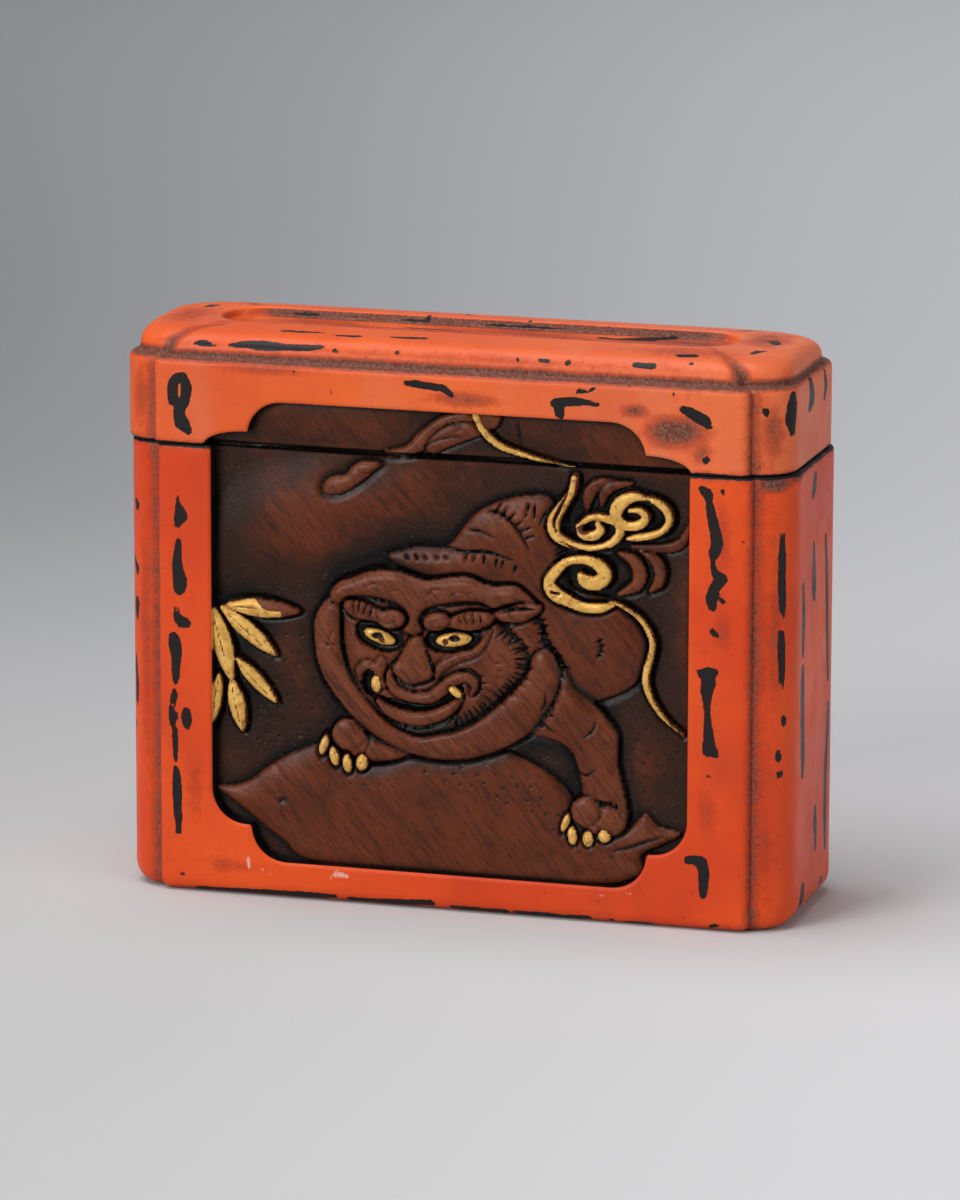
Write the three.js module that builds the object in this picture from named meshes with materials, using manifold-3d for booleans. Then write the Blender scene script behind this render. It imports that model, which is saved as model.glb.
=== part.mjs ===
import * as THREE from 'three';
import { mergeVertices } from 'three/addons/utils/BufferGeometryUtils.js';
import Module from 'manifold-3d';

const wasm = await Module();
wasm.setup();

// Tobacco box of carved and lacquered wood, in millimetres
// +X right, -Y to the front, +Z up, origin under the middle of the standing box

// Outside of the box: a wide slab between two narrower ends, seen from above
const boxWidth = 90;
const slabWidth = 79.2;
const slabDepth = 29.4;
const slabCorner = 1.2;
const endDepth = 27.1;
const endCorner = 4.7;
const seamHeight = 60.1;
const skirtHeight = 11.3;
const footRounding = 1.8;
const seamRounding = 0.5;

// Lid: a domed top set back from its skirt, with a shallow plain field sunk into it
const domeRise = 3.7;
const domeSetback = 1.6;
const domeRounding = 4.4;
const fieldLength = 68;
const fieldWidth = 16.4;
const fieldCorner = 5;
const fieldDepth = 1.1;

// Walls, and the riser inside the body that the lid slides over
const wall = 4.8;
const floorThickness = 4;
const lidTopThickness = 3;
const riserWall = 1.4;
const riserHeight = 4;
const riserClearance = 0.4;
const cavityCorner = 3;

// The lid has worn to sit this far to the left of the body
const lidSlip = 0.4;

// Sunk panels: two overlapping round-cornered rectangles give the stepped corners
const panelBottom = 5.4;
const panelHeight = 60.9;
const panelWidth = 65.2;
const panelStepX = 5.4;
const panelStepZ = 4.8;
const panelCorner = 4.6;
const panelOffset = -0.3;
const panelDepth = 2.3;
const backPanelDepth = 1.2;

// The carving's triangles: grid of two to this power, and the bend that a triangle may miss
const carvingFineness = 7;
const carvingTolerance = 0.24;

const halfSlab = slabDepth / 2;
const skirtTop = seamHeight + skirtHeight;
const boxHeight = skirtTop + domeRise;
const roundSteps = 4;
const smallestCorner = 0.05;
const smallestEdge = 0.02;
const thinnest = 0.004;
const sliverRounds = 12;
const noEase = { across: 0, along: 0, steps: 0 };
const seamEase = { across: seamRounding, along: seamRounding, steps: 1 };
const footEase = { across: footRounding, along: footRounding, steps: 3 };
const domeEase = { across: domeRounding, along: domeRise, steps: 5 };
const overcut = 1;
const toolMargin = 1;
const toolReach = 4;

const lacquer = new THREE.MeshStandardMaterial({ color: 0xd9481f, roughness: 0.36, metalness: 0 });
const lidLacquer = new THREE.MeshStandardMaterial({ color: 0xde5226, roughness: 0.34, metalness: 0 });

// A closed three.js geometry as a solid, and a solid back as a geometry
function solidOf(geometry) {
  geometry.deleteAttribute('normal');
  geometry.deleteAttribute('uv');
  const merged = mergeVertices(geometry, 1e-5);
  return new wasm.Manifold(new wasm.Mesh({
    numProp: 3,
    vertProperties: Float32Array.from(merged.attributes.position.array),
    triVerts: Uint32Array.from(merged.index.array),
  }));
}

// A flat sliver is turned about its long side into the triangle beyond it
function turnSlivers(faces, position) {
  const corner = (i) => new THREE.Vector3().fromBufferAttribute(position, i);
  const owner = new Map();
  const record = (face) => {
    const [a, b, c] = faces[face];
    owner.set(`${a} ${b}`, face);
    owner.set(`${b} ${c}`, face);
    owner.set(`${c} ${a}`, face);
  };
  faces.forEach((_, face) => record(face));
  let turned = 1;
  for (let round = 0; turned > 0 && round < sliverRounds; round += 1) {
    turned = 0;
    for (let face = 0; face < faces.length; face += 1) {
      const [a, b, c] = faces[face];
      const sides = [[a, b, c], [b, c, a], [c, a, b]];
      sides.sort((one, other) => corner(other[0]).distanceTo(corner(other[1]))
        - corner(one[0]).distanceTo(corner(one[1])));
      const [p, q, r] = sides[0];
      const area = new THREE.Triangle(corner(a), corner(b), corner(c)).getArea();
      const beyond = owner.get(`${q} ${p}`);
      const s = faces[beyond].find((i) => i !== p && i !== q);
      const taken = owner.has(`${r} ${s}`) || owner.has(`${s} ${r}`);
      if (2 * area < thinnest * corner(p).distanceTo(corner(q)) && !taken) {
        owner.delete(`${p} ${q}`);
        owner.delete(`${q} ${p}`);
        faces[face] = [p, s, r];
        faces[beyond] = [s, q, r];
        record(face);
        record(beyond);
        turned += 1;
      }
    }
  }
}

function geometryOf(solid) {
  const mesh = solid.getMesh();
  const cut = new THREE.BufferGeometry();
  cut.setAttribute('position', new THREE.BufferAttribute(Float32Array.from(mesh.vertProperties), 3));
  cut.setIndex(new THREE.BufferAttribute(Uint32Array.from(mesh.triVerts), 1));
  const geometry = mergeVertices(cut, smallestEdge);
  const corners = Array.from(geometry.index.array);
  const faces = [];
  for (let i = 0; i < corners.length; i += 3) {
    const [a, b, c] = corners.slice(i, i + 3);
    if (a !== b && b !== c && c !== a) {
      faces.push([a, b, c]);
    }
  }
  turnSlivers(faces, geometry.attributes.position);
  geometry.setIndex(faces.flat());
  geometry.computeVertexNormals();
  return geometry;
}

function roundedRectangle(width, height, corner) {
  const x = width / 2;
  const y = height / 2;
  const r = Math.min(corner, x - smallestCorner, y - smallestCorner);
  const shape = new THREE.Shape();
  shape.moveTo(-x + r, -y);
  shape.lineTo(x - r, -y);
  shape.absarc(x - r, -y + r, r, -Math.PI / 2, 0, false);
  shape.lineTo(x, y - r);
  shape.absarc(x - r, y - r, r, 0, Math.PI / 2, false);
  shape.lineTo(-x + r, y);
  shape.absarc(-x + r, y - r, r, Math.PI / 2, Math.PI, false);
  shape.lineTo(-x, -y + r);
  shape.absarc(-x + r, -y + r, r, Math.PI, 1.5 * Math.PI, false);
  return shape;
}

// A level ring round a block with round corners, set in by inset at a height
function ringAt(width, depth, corner, inset, z) {
  const radius = Math.max(corner - inset, smallestCorner);
  const x = width / 2 - inset - radius;
  const y = depth / 2 - inset - radius;
  const ring = [];
  for (const [quarter, signX, signY] of [[0, 1, 1], [1, -1, 1], [2, -1, -1], [3, 1, -1]]) {
    for (let i = 0; i <= roundSteps; i += 1) {
      const angle = (quarter + i / roundSteps) * Math.PI / 2;
      ring.push(signX * x + radius * Math.cos(angle), signY * y + radius * Math.sin(angle), z);
    }
  }
  return ring;
}

// An upright block with round corners, its edges eased by a quarter ellipse at the foot and the top
function block(width, depth, corner, bottom, top, foot = noEase, crown = noEase) {
  const levels = [];
  for (let i = 0; i <= foot.steps; i += 1) {
    const angle = (i / Math.max(foot.steps, 1)) * Math.PI / 2;
    levels.push([foot.across * (1 - Math.sin(angle)), bottom + foot.along * (1 - Math.cos(angle))]);
  }
  for (let i = crown.steps; i >= 0; i -= 1) {
    const angle = (i / Math.max(crown.steps, 1)) * Math.PI / 2;
    levels.push([crown.across * (1 - Math.cos(angle)), top - crown.along * (1 - Math.sin(angle))]);
  }
  levels.sort((one, other) => one[1] - other[1]);
  const around = 4 * (roundSteps + 1);
  const points = levels.flatMap(([inset, z]) => ringAt(width, depth, corner, inset, z));
  const faces = [];
  for (let level = 0; level < levels.length - 1; level += 1) {
    for (let i = 0; i < around; i += 1) {
      const low = level * around;
      const high = low + around;
      const next = (i + 1) % around;
      faces.push(low + i, low + next, high + next, low + i, high + next, high + i);
    }
  }
  const last = (levels.length - 1) * around;
  for (let i = 1; i < around - 1; i += 1) {
    faces.push(0, i + 1, i, last, last + i, last + i + 1);
  }
  const geometry = new THREE.BufferGeometry();
  geometry.setAttribute('position', new THREE.Float32BufferAttribute(points, 3));
  geometry.setIndex(faces);
  return solidOf(geometry);
}

// The box's own plan, set in all round by inset
function boxForm(inset, bottom, top, foot, crown) {
  const endRadius = endCorner - inset;
  const slabRadius = Math.max(slabCorner - inset, smallestCorner);
  const ends = block(boxWidth - 2 * inset, endDepth - 2 * inset, endRadius, bottom, top, foot, crown);
  const slab = block(slabWidth - 2 * inset, slabDepth - 2 * inset, slabRadius, bottom, top, foot, crown);
  return ends.add(slab);
}

// A round-cornered prism that runs from front to back, for the sunk panels
function panelPrism(width, height, middleZ, nearY, farY) {
  const geometry = new THREE.ExtrudeGeometry(roundedRectangle(width, height, panelCorner), {
    depth: farY - nearY,
    bevelEnabled: false,
    curveSegments: roundSteps,
  });
  geometry.rotateX(Math.PI / 2);
  geometry.translate(panelOffset, farY, middleZ);
  return solidOf(geometry);
}

function panelOpening(nearY, farY) {
  const middleZ = panelBottom + panelHeight / 2;
  const wide = panelPrism(panelWidth, panelHeight - 2 * panelStepZ, middleZ, nearY, farY);
  const tall = panelPrism(panelWidth - 2 * panelStepX, panelHeight, middleZ, nearY, farY);
  return wide.add(tall);
}

// Carving: places are hundredths of the panel's height, across from its middle and up from its foot,
// and heights are shares of its depth, from 0 on the ground to 1 at the level of the frame
const ground = 0.06;
const bodyEdge = 0.42;
const tailEdge = 0.34;

function rounded(floor, top, share) {
  return share >= 1 ? 0 : floor + (top - floor) * (1 - share ** 3);
}

// A round or oval swelling
function swelling([u, v], [reachU, reachV], tilt, top, floor = ground) {
  const turn = THREE.MathUtils.degToRad(tilt);
  return (x, y) => {
    const along = (x - u) * Math.cos(turn) + (y - v) * Math.sin(turn);
    const across = (y - v) * Math.cos(turn) - (x - u) * Math.sin(turn);
    return rounded(floor, top, Math.hypot(along / reachU, across / reachV));
  };
}

// A roll along a smooth line, given as places with the half width there
function roll(places, top, floor = ground, samples = 8) {
  const line = new THREE.CatmullRomCurve3(places.map(([u, v, half]) => new THREE.Vector3(u, v, half)));
  const steps = line.getPoints((places.length - 1) * samples);
  return (x, y) => {
    let nearest = 1;
    for (const step of steps) {
      nearest = Math.min(nearest, Math.hypot(x - step.x, y - step.y) / step.z);
    }
    return rounded(floor, top, nearest);
  };
}

// A leaf with a pointed tip at each end
function leaf([u0, v0], [u1, v1], half, top, floor = ground) {
  const places = [];
  for (let i = 0; i <= 8; i += 1) {
    const t = i / 8;
    places.push([u0 + (u1 - u0) * t, v0 + (v1 - v0) * t, 0.3 + half * Math.sin(Math.PI * t)]);
  }
  return roll(places, top, floor, 2);
}

// A cloud scroll: a strip that winds in to its eye
function scroll([u, v], outer, inner, start, turns, half, top) {
  const places = [];
  const steps = Math.ceil(turns * 10);
  for (let i = 0; i <= steps; i += 1) {
    const t = i / steps;
    const angle = THREE.MathUtils.degToRad(start) + 2 * Math.PI * turns * t;
    const radius = outer + (inner - outer) * t;
    places.push([u + radius * Math.cos(angle), v + radius * Math.sin(angle), half * (1 - 0.2 * t)]);
  }
  return roll(places, top, ground, 3);
}

// The hills behind and the rock that the tiger stands on
const landscape = [
  swelling([-32, 72], [30, 28], 10, 0.36),
  swelling([18, 92], [34, 12], -4, 0.3),
  swelling([-12, 8], [39, 17], -2, 0.62, 0.3),
  roll([[-50, 14.4, 2], [-42, 14.5, 5], [-32, 14, 9]], 0.56, 0.2),
  leaf([34, 9], [51, 12], 5, 0.5, 0.2),
];

const tigerBody = [
  swelling([11, 70], [14.5, 12], 24, 0.76, bodyEdge),
  roll([[-12.3, 67.3, 1.6], [-4, 68, 2.8], [7, 67.5, 3.2]], 0.7, bodyEdge),
  swelling([31, 50], [13.5, 10.5], -20, 0.86, bodyEdge),
  swelling([22, 44], [9.5, 13], 10, 0.86, bodyEdge),
  roll([[20, 38, 7], [28.5, 33, 6.2], [32.3, 25, 4.8], [33.8, 17.5, 5]], 0.9, bodyEdge),
  swelling([33.4, 13.6], [6, 5], 0, 0.84, bodyEdge),
  swelling([28.9, 15.1], [2.8, 3.2], 0, 0.94, bodyEdge),
  roll([[-23.5, 27.4, 4.2], [-18, 26, 3.6], [-9.5, 25.1, 1.6]], 0.86, bodyEdge),
];

const tail = [
  roll([[-27.4, 82.5, 1.8], [-22.2, 83.9, 2.3], [-17.2, 86.3, 2.4], [-13, 88.8, 2]], 0.72, tailEdge),
  roll([[-13, 88.8, 2], [-6.5, 92.8, 2.2], [-1, 95.5, 3], [6, 97, 3]], 0.72, tailEdge),
  swelling([1, 93.5], [6, 4], 20, 0.6, tailEdge),
];

const collar = [
  roll([[-25.4, 56.5, 2.8], [-27, 49.6, 3.2], [-25.3, 42.6, 3.6], [-20, 35.4, 3.9], [-13.5, 30.6, 4.1],
    [-5.9, 28.2, 4.2], [2.6, 28.4, 4.2], [10.4, 31.7, 4.3], [16.3, 36.7, 4.6], [20, 43, 4.6]], 0.84, bodyEdge),
];

const face = [
  swelling([-3.4, 45.6], [20.5, 15.2], -4, 0.8, 0.4),
  roll([[-23.7, 59.4, 2.8], [-17.3, 61.2, 3.8], [-10.2, 61, 4.2], [-3.1, 60.8, 4.2], [4, 61, 3.9],
    [10.4, 60.2, 3.4], [15.3, 59.6, 2.8]], 1, 0.62),
  roll([[-7.2, 60, 2.6], [-7.3, 56, 1.8], [-7.3, 52.5, 1.2]], 0.94, 0.6),
  leaf([9, 55.8], [20, 58.8], 2.6, 0.95, 0.5),
  roll([[-22.3, 56.6, 1.8], [-18, 55.9, 2.3], [-13, 54.8, 2.6]], 1, 0.55),
  swelling([-12.2, 54.4], [2.9, 2.8], 0, 1, 0.6),
  roll([[9.6, 55.4, 1.2], [3.3, 55.3, 2.2], [-2, 54.9, 2.5]], 1, 0.55),
  swelling([-3.1, 54.7], [2.9, 2.9], 0, 1, 0.6),
  roll([[-7.6, 50.8, 1.2], [-7.5, 46, 2.6], [-7.4, 42.6, 4]], 1, 0.62),
  roll([[-20, 46, 2.2], [-17.5, 43.6, 2.6], [-14.4, 40.6, 2]], 0.9, 0.5),
  roll([[-14.4, 40.6, 1.5], [-12, 38.2, 1.7], [-7.6, 36.8, 1.8], [-3.1, 37.8, 1.8], [0.6, 41.4, 1.8],
    [4, 43.6, 1.8], [6, 42.4, 1.6]], 0.94, 0.55),
  roll([[-2, 43.4, 1.4], [1.2, 46, 1.6], [4.7, 47.8, 1.5], [7.6, 50.6, 1.2]], 0.92, 0.55),
];

const jaw = [
  roll([[-15.9, 37, 1.3], [-13, 34.3, 1.8], [-7.3, 32.9, 1.9], [-1.6, 34.1, 1.8], [2.4, 36.8, 1.2]], 0.92, 0.5),
  swelling([-16.4, 39.9], [1.4, 2.2], 0, 0.95, 0.5),
  swelling([1.4, 39.3], [1.9, 1.5], -35, 0.95, 0.5),
];

const eyes = [
  swelling([-15.7, 50], [3.9, 2.1], -16, 0.82, 0.3),
  swelling([0.8, 50.4], [4.5, 2.1], 12, 0.82, 0.3),
];

// Sockets, mouth and the groove round the face, cut before the eyes and the jaw are put in
const sunkInFace = [
  swelling([-15.2, 50.3], [5.4, 3.6], -14, 0.5, 0),
  swelling([0.6, 50.8], [6.2, 3.4], 12, 0.5, 0),
  roll([[-18, 39.6, 1.6], [-13, 35.8, 1.6], [-7, 34.6, 1.5], [-1, 35.8, 1.6], [3, 39, 1.4]], 0.4, 0),
  roll([[-22.6, 55, 1], [-22.8, 46, 1.2], [-18, 37.8, 1.2], [-11.6, 32.2, 1.2], [-4.5, 30.6, 1.3],
    [3.3, 32.6, 1.3], [12.5, 39, 1.2], [17.2, 46.4, 1.2], [14, 54, 1]], 0.4, 0),
];

const paws = [];
const claws = [[-28.4, 25.4], [-25.9, 23], [-22.9, 21.8], [-19.6, 22.2],
  [25.7, 12.2], [27.1, 9.6], [30.3, 9.2], [34.2, 10.1]];
for (const place of claws) {
  paws.push(swelling(place, [1.5, 2], 0, 0.86));
}

const cloudStrip = 1.35;
const clouds = [
  roll([[27.2, 87, 0.9], [26.6, 82, 1.2], [22.8, 78.8, 1.5], [21.9, 75.4, 1.5], [25, 72.8, 1.4],
    [30.7, 72.2, 1.3], [35.4, 74, 1.3]], 0.8),
  scroll([31.2, 75.9], 5.4, 1.4, -30, 1.5, cloudStrip, 0.8),
  scroll([40.2, 80.4], 4.8, 1.2, 60, 1.3, cloudStrip, 0.8),
  roll([[41.6, 84.6, 1.2], [46.4, 83.2, 1.2], [47.9, 79.8, 1.2], [45.8, 76.6, 1.2], [40.4, 75.4, 1.2]], 0.78),
  scroll([30.6, 65.2], 5.2, 1.6, 190, 1.25, cloudStrip, 0.8),
  roll([[24, 68.6, 1.3], [21.8, 64.4, 1.3], [24, 60.8, 1.4], [30, 59.3, 1.4], [36, 60.4, 1.2]], 0.8),
  roll([[38, 71.4, 0.8], [41, 68.4, 1.2], [39, 63.2, 0.8]], 0.5),
  roll([[42.4, 72, 0.8], [45.8, 68.4, 1.2], [44.2, 63.8, 0.8]], 0.5),
];

const bamboo = [
  leaf([-50.5, 55], [-33.8, 54], 2.2, 0.74),
  leaf([-51.3, 54], [-39.6, 44.4], 1.6, 0.74),
  leaf([-53, 53.4], [-48.8, 38.2], 2.1, 0.78),
  leaf([-47.6, 42.8], [-39, 34.2], 1.5, 0.72),
  leaf([-48.9, 38.6], [-46.6, 27.2], 1.9, 0.74),
  leaf([-51.6, 39], [-53, 28.6], 1.5, 0.72),
];

const raised = [...landscape, ...tigerBody, ...tail, ...collar, ...face, ...clouds, ...bamboo, ...paws];
const putIn = [...eyes, ...jaw];

function carvedShare(u, v) {
  let share = ground;
  for (const form of raised) {
    share = Math.max(share, form(u, v));
  }
  for (const hollow of sunkInFace) {
    share = Math.max(0, share - hollow(u, v));
  }
  for (const form of putIn) {
    share = Math.max(share, form(u, v));
  }
  return share;
}

// Triangles over a square grid, halved again and again only where the surface bends
// Each triangle is given by the ends of its long side and its square corner
function thinnedGrid(size, depths, tolerance) {
  const span = size - 1;
  const finest = 2 * Math.log2(span);
  const faults = new Float32Array(size * size);
  const at = (x, y) => y * size + x;
  const halves = ([ax, ay, bx, by, cx, cy]) => {
    const mx = (ax + bx) / 2;
    const my = (ay + by) / 2;
    return [[cx, cy, ax, ay, mx, my], [bx, by, cx, cy, mx, my]];
  };
  const levels = [[[0, 0, span, span, span, 0], [span, span, 0, 0, 0, span]]];
  for (let level = 1; level < finest; level += 1) {
    levels.push(levels[level - 1].flatMap(halves));
  }
  const middle = ([ax, ay, bx, by]) => at((ax + bx) / 2, (ay + by) / 2);
  for (let level = finest - 1; level >= 0; level -= 1) {
    for (const triangle of levels[level]) {
      const [ax, ay, bx, by] = triangle;
      const here = middle(triangle);
      const straight = (depths[at(ax, ay)] + depths[at(bx, by)]) / 2;
      let fault = Math.max(faults[here], Math.abs(straight - depths[here]));
      if (level < finest - 1) {
        for (const half of halves(triangle)) {
          fault = Math.max(fault, faults[middle(half)]);
        }
      }
      faults[here] = fault;
    }
  }
  const kept = [];
  const keep = (triangle, level) => {
    if (level < finest && faults[middle(triangle)] > tolerance) {
      for (const half of halves(triangle)) {
        keep(half, level + 1);
      }
    } else {
      const [ax, ay, bx, by, cx, cy] = triangle;
      kept.push([at(ax, ay), at(bx, by), at(cx, cy)]);
    }
  };
  levels[0].forEach((triangle) => keep(triangle, 0));
  return kept;
}

// The tool that carves the front: its inner face is the relief in reverse
function carvingTool() {
  const size = 2 ** carvingFineness + 1;
  const hundredth = panelHeight / 100;
  const toolWidth = panelWidth + 2 * toolMargin;
  const toolHeight = panelHeight + 2 * toolMargin;
  const depths = [];
  const points = [];
  for (let row = 0; row < size; row += 1) {
    for (let column = 0; column < size; column += 1) {
      const x = (column / (size - 1) - 0.5) * toolWidth;
      const z = (row / (size - 1)) * toolHeight - toolMargin;
      const depth = panelDepth * (1 - carvedShare(x / hundredth, z / hundredth));
      depths.push(depth);
      points.push(x + panelOffset, depth - halfSlab, z + panelBottom);
    }
  }
  const inner = thinnedGrid(size, depths, carvingTolerance);
  const count = size * size;
  for (let i = 0; i < count; i += 1) {
    points.push(points[3 * i], -halfSlab - toolReach, points[3 * i + 2]);
  }
  const faces = [];
  const edges = new Map();
  for (const [a, b, c] of inner) {
    faces.push(a, b, c, a + count, c + count, b + count);
    for (const [from, to] of [[a, b], [b, c], [c, a]]) {
      if (!edges.delete(`${to} ${from}`)) {
        edges.set(`${from} ${to}`, [from, to]);
      }
    }
  }
  for (const [from, to] of edges.values()) {
    faces.push(from, to + count, to, from, from + count, to + count);
  }
  const geometry = new THREE.BufferGeometry();
  geometry.setAttribute('position', new THREE.Float32BufferAttribute(points, 3));
  geometry.setIndex(faces);
  const tool = solidOf(geometry.toNonIndexed());
  return tool.intersect(panelOpening(-halfSlab - 2 * toolReach, 0));
}

const frontCarving = carvingTool();
const backPanel = panelOpening(halfSlab - backPanelDepth, halfSlab + toolReach);

// Case: hollow and open at the top, with the riser standing round its mouth
function caseSolid() {
  const outside = boxForm(0, 0, seamHeight, footEase, seamEase);
  const cavityWidth = boxWidth - 2 * wall;
  const cavityDepth = slabDepth - 2 * wall;
  const riser = block(cavityWidth, cavityDepth, cavityCorner, floorThickness, seamHeight + riserHeight);
  const cavity = block(
    cavityWidth - 2 * riserWall,
    cavityDepth - 2 * riserWall,
    cavityCorner - riserWall,
    floorThickness,
    seamHeight + riserHeight + overcut,
  );
  return outside.subtract(frontCarving).subtract(backPanel).add(riser).subtract(cavity);
}

// Lid: skirt and dome, hollow underneath so that it slides over the riser
function lidSolid() {
  const skirt = boxForm(0, seamHeight, skirtTop, seamEase, seamEase);
  const dome = boxForm(domeSetback, skirtTop - domeRise, boxHeight, noEase, domeEase);
  const room = riserClearance + lidSlip;
  const hollow = block(
    boxWidth - 2 * wall + 2 * room,
    slabDepth - 2 * wall + 2 * room,
    cavityCorner + room,
    seamHeight - overcut,
    boxHeight - fieldDepth - lidTopThickness,
  );
  const field = block(fieldLength, fieldWidth, fieldCorner, boxHeight - fieldDepth, boxHeight + overcut);
  return skirt.add(dome).subtract(frontCarving).subtract(backPanel).subtract(hollow).subtract(field);
}

function piece(name, solid, material, x) {
  const mesh = new THREE.Mesh(geometryOf(solid), material);
  mesh.name = name;
  mesh.position.set(x, 0, 0);
  return mesh;
}

const tobaccoBox = new THREE.Group();
tobaccoBox.add(piece('case', caseSolid(), lacquer, lidSlip / 2));
tobaccoBox.add(piece('lid', lidSolid(), lidLacquer, -lidSlip / 2));

export default tobaccoBox;
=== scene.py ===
import math

import bpy
import numpy as np
from mathutils import Matrix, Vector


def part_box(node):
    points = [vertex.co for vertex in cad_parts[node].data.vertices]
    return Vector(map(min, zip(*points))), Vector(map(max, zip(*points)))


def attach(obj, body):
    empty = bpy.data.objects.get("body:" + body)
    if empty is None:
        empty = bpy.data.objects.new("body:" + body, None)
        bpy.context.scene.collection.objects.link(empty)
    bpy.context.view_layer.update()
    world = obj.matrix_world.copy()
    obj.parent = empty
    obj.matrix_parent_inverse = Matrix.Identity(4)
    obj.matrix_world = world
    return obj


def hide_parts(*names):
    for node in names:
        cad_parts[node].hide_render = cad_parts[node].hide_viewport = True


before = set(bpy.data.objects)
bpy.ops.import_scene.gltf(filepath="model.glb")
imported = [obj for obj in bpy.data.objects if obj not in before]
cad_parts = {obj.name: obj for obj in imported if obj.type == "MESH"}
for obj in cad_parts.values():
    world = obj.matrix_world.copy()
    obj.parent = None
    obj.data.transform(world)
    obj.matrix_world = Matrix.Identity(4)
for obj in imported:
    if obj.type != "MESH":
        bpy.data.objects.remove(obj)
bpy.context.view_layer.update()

# Tobacco box of carved and lacquered wood
# Sizes are in millimetres until a mesh is written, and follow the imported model's own box
mm = 0.001
case_low, case_high = [np.array(corner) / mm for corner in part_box("case")]
lid_low, lid_high = [np.array(corner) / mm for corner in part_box("lid")]

box_width = case_high[0] - case_low[0]
slab_depth = case_high[1] - case_low[1]
seam_height = lid_low[2]
box_height = lid_high[2]
riser_top = case_high[2]
case_middle = (case_high[0] + case_low[0]) / 2
lid_middle = (lid_high[0] + lid_low[0]) / 2

slab_width = 80.2
slab_corner = 1.2
end_depth = 27.1
end_corner = 5
skirt_height = 11.3
foot_rounding = 1.8
end_foot_rounding = 3.2
seam_rounding = 0.5
skirt_top = seam_height + skirt_height

skirt_rounding = 0.75
dome_setback = 1.7
dome_foot = 0.45
dome_rounding = 5.2
dome_end_setback = 0.95
dome_end_rounding = 2.4
dome_fullness = 0.8
dome_crown = 0.22
dome_top_corner = 8
dome_rise = box_height - dome_crown - skirt_top - dome_foot
field_length = 70
field_width = 10.8
field_corner = 5.3
field_depth = 1.1

wall = 4.8
floor_thickness = 4
lid_top_thickness = 3
riser_wall = 1.4
cavity_corner = 3
lid_room = 0.8

panel_bottom = 4.9
panel_height = 61.4
panel_width = 64.4
panel_step_x = 5.4
panel_step_z = 4.8
panel_corner = 4.6
panel_lid_widening = 0.6
panel_lid_step = (5.9, 2.1)
panel_offset = -0.4
carving_foot = 5.4
carving_height = 60.9
panel_depth = 2.3
panel_lip = 0.45
back_panel_depth = 1.2
back_pitch = 1.0

# Small roundings: the riser's edges, the rim of the lid's field, and the wear of the plan's sharp corners
riser_edge = 0.3
field_lip = 0.45
corner_wear_rounds = 2

# How many rings stand up the case's wall, the lid's skirt and the dome, and round each small edge
wall_rings = 96
skirt_rings = 18
dome_rings = 16
foot_rings = 11
skirt_edge_steps = 5
seam_edge_steps = 3
lip_steps = 4

# The ledge at the dome's foot: inset at the long sides, inset at the ends, rise
# The field: inset and drop down its wall, and insets across its floor
ledge_profile = ((1.2, 0.85, 0), (1.5, 0.9, 0.07), (1.65, 0.93, 0.22))
field_wall_profile = ((-0.2, 0.07), (0, 0.3), (0.05, field_depth - 0.3), (0.2, field_depth - 0.08))
field_floor_insets = (0.5, 1.4, 2.6, 3.8)

front = -slab_depth / 2
back = slab_depth / 2
least_corner = 0.05
weld_distance = 0.002
smooth_angle = 48
spare = 5
far = 1000.0
chance = np.random.default_rng(7)

# Half width, half depth and corner of the two forms that cross in the box's plan and in the panel's outline
box_ends = (box_width / 2, end_depth / 2, end_corner)
box_slab = (slab_width / 2, slab_depth / 2, slab_corner)
panel_broad = (panel_width / 2, panel_height / 2 - panel_step_z, panel_corner)
panel_tall = (panel_width / 2 - panel_step_x, panel_height / 2, panel_corner)

# Width, depth and corner of the hollow in the case and of the field in the lid's top
cavity = (box_width - 2 * wall, slab_depth - 2 * wall, cavity_corner)
field = (field_length, field_width, field_corner)

# Steps along a quarter of the plan: end, round corner, ledge, slab's side, slab's face
fine_steps = (13, 11, 3, 8, 62)
plain_steps = (13, 11, 3, 8, 34)
panel_steps = (30, 12, 3, 14, 34)


def arc(middle, radius, start, end, steps=16):
    angles = np.radians(np.linspace(start, end, steps + 1))
    return [(middle[0] + radius * math.cos(a), middle[1] + radius * math.sin(a)) for a in angles]


def spread(path, count):
    """Points at even steps along a path, with both its ends."""
    path = np.array(path, float)
    lengths = np.concatenate(([0], np.cumsum(np.hypot(*np.diff(path, axis=0).T))))
    at = np.linspace(0, lengths[-1], count + 1)
    return np.column_stack([np.interp(at, lengths, path[:, k]) for k in (0, 1)])


def joined(pieces, steps):
    runs = [spread(piece, count) for piece, count in zip(pieces, steps)]
    return np.concatenate([run[:-1] for run in runs] + [runs[-1][-1:]])


def stepped_quarter(ends, slab, inset, steps):
    """A quarter of the outline that two crossing round-cornered forms make, set in by inset."""
    end_x, end_y, end_r = ends[0] - inset, ends[1] - inset, max(ends[2] - inset, least_corner)
    slab_x, slab_y, slab_r = slab[0] - inset, slab[1] - inset, max(slab[2] - inset, least_corner)
    middle = (slab_x - slab_r, slab_y - slab_r)
    rise = [place for place in arc(middle, slab_r, 0, 90) if place[1] > end_y]
    pieces = (
        [(end_x, 0), (end_x, end_y - end_r)],
        arc((end_x - end_r, end_y - end_r), end_r, 0, 90),
        [(end_x - end_r, end_y), (slab_x, end_y)],
        [(slab_x, end_y)] + rise,
        [(slab_x - slab_r, slab_y), (0, slab_y)],
    )
    return joined(pieces, steps)


def plain_quarter(half_x, half_y, corner, steps):
    pieces = (
        [(half_x, 0), (half_x, half_y - corner)],
        arc((half_x - corner, half_y - corner), corner, 0, 90),
        [(half_x - corner, half_y), (0, half_y)],
    )
    return joined(pieces, (steps[0], steps[1], sum(steps[2:])))


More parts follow.
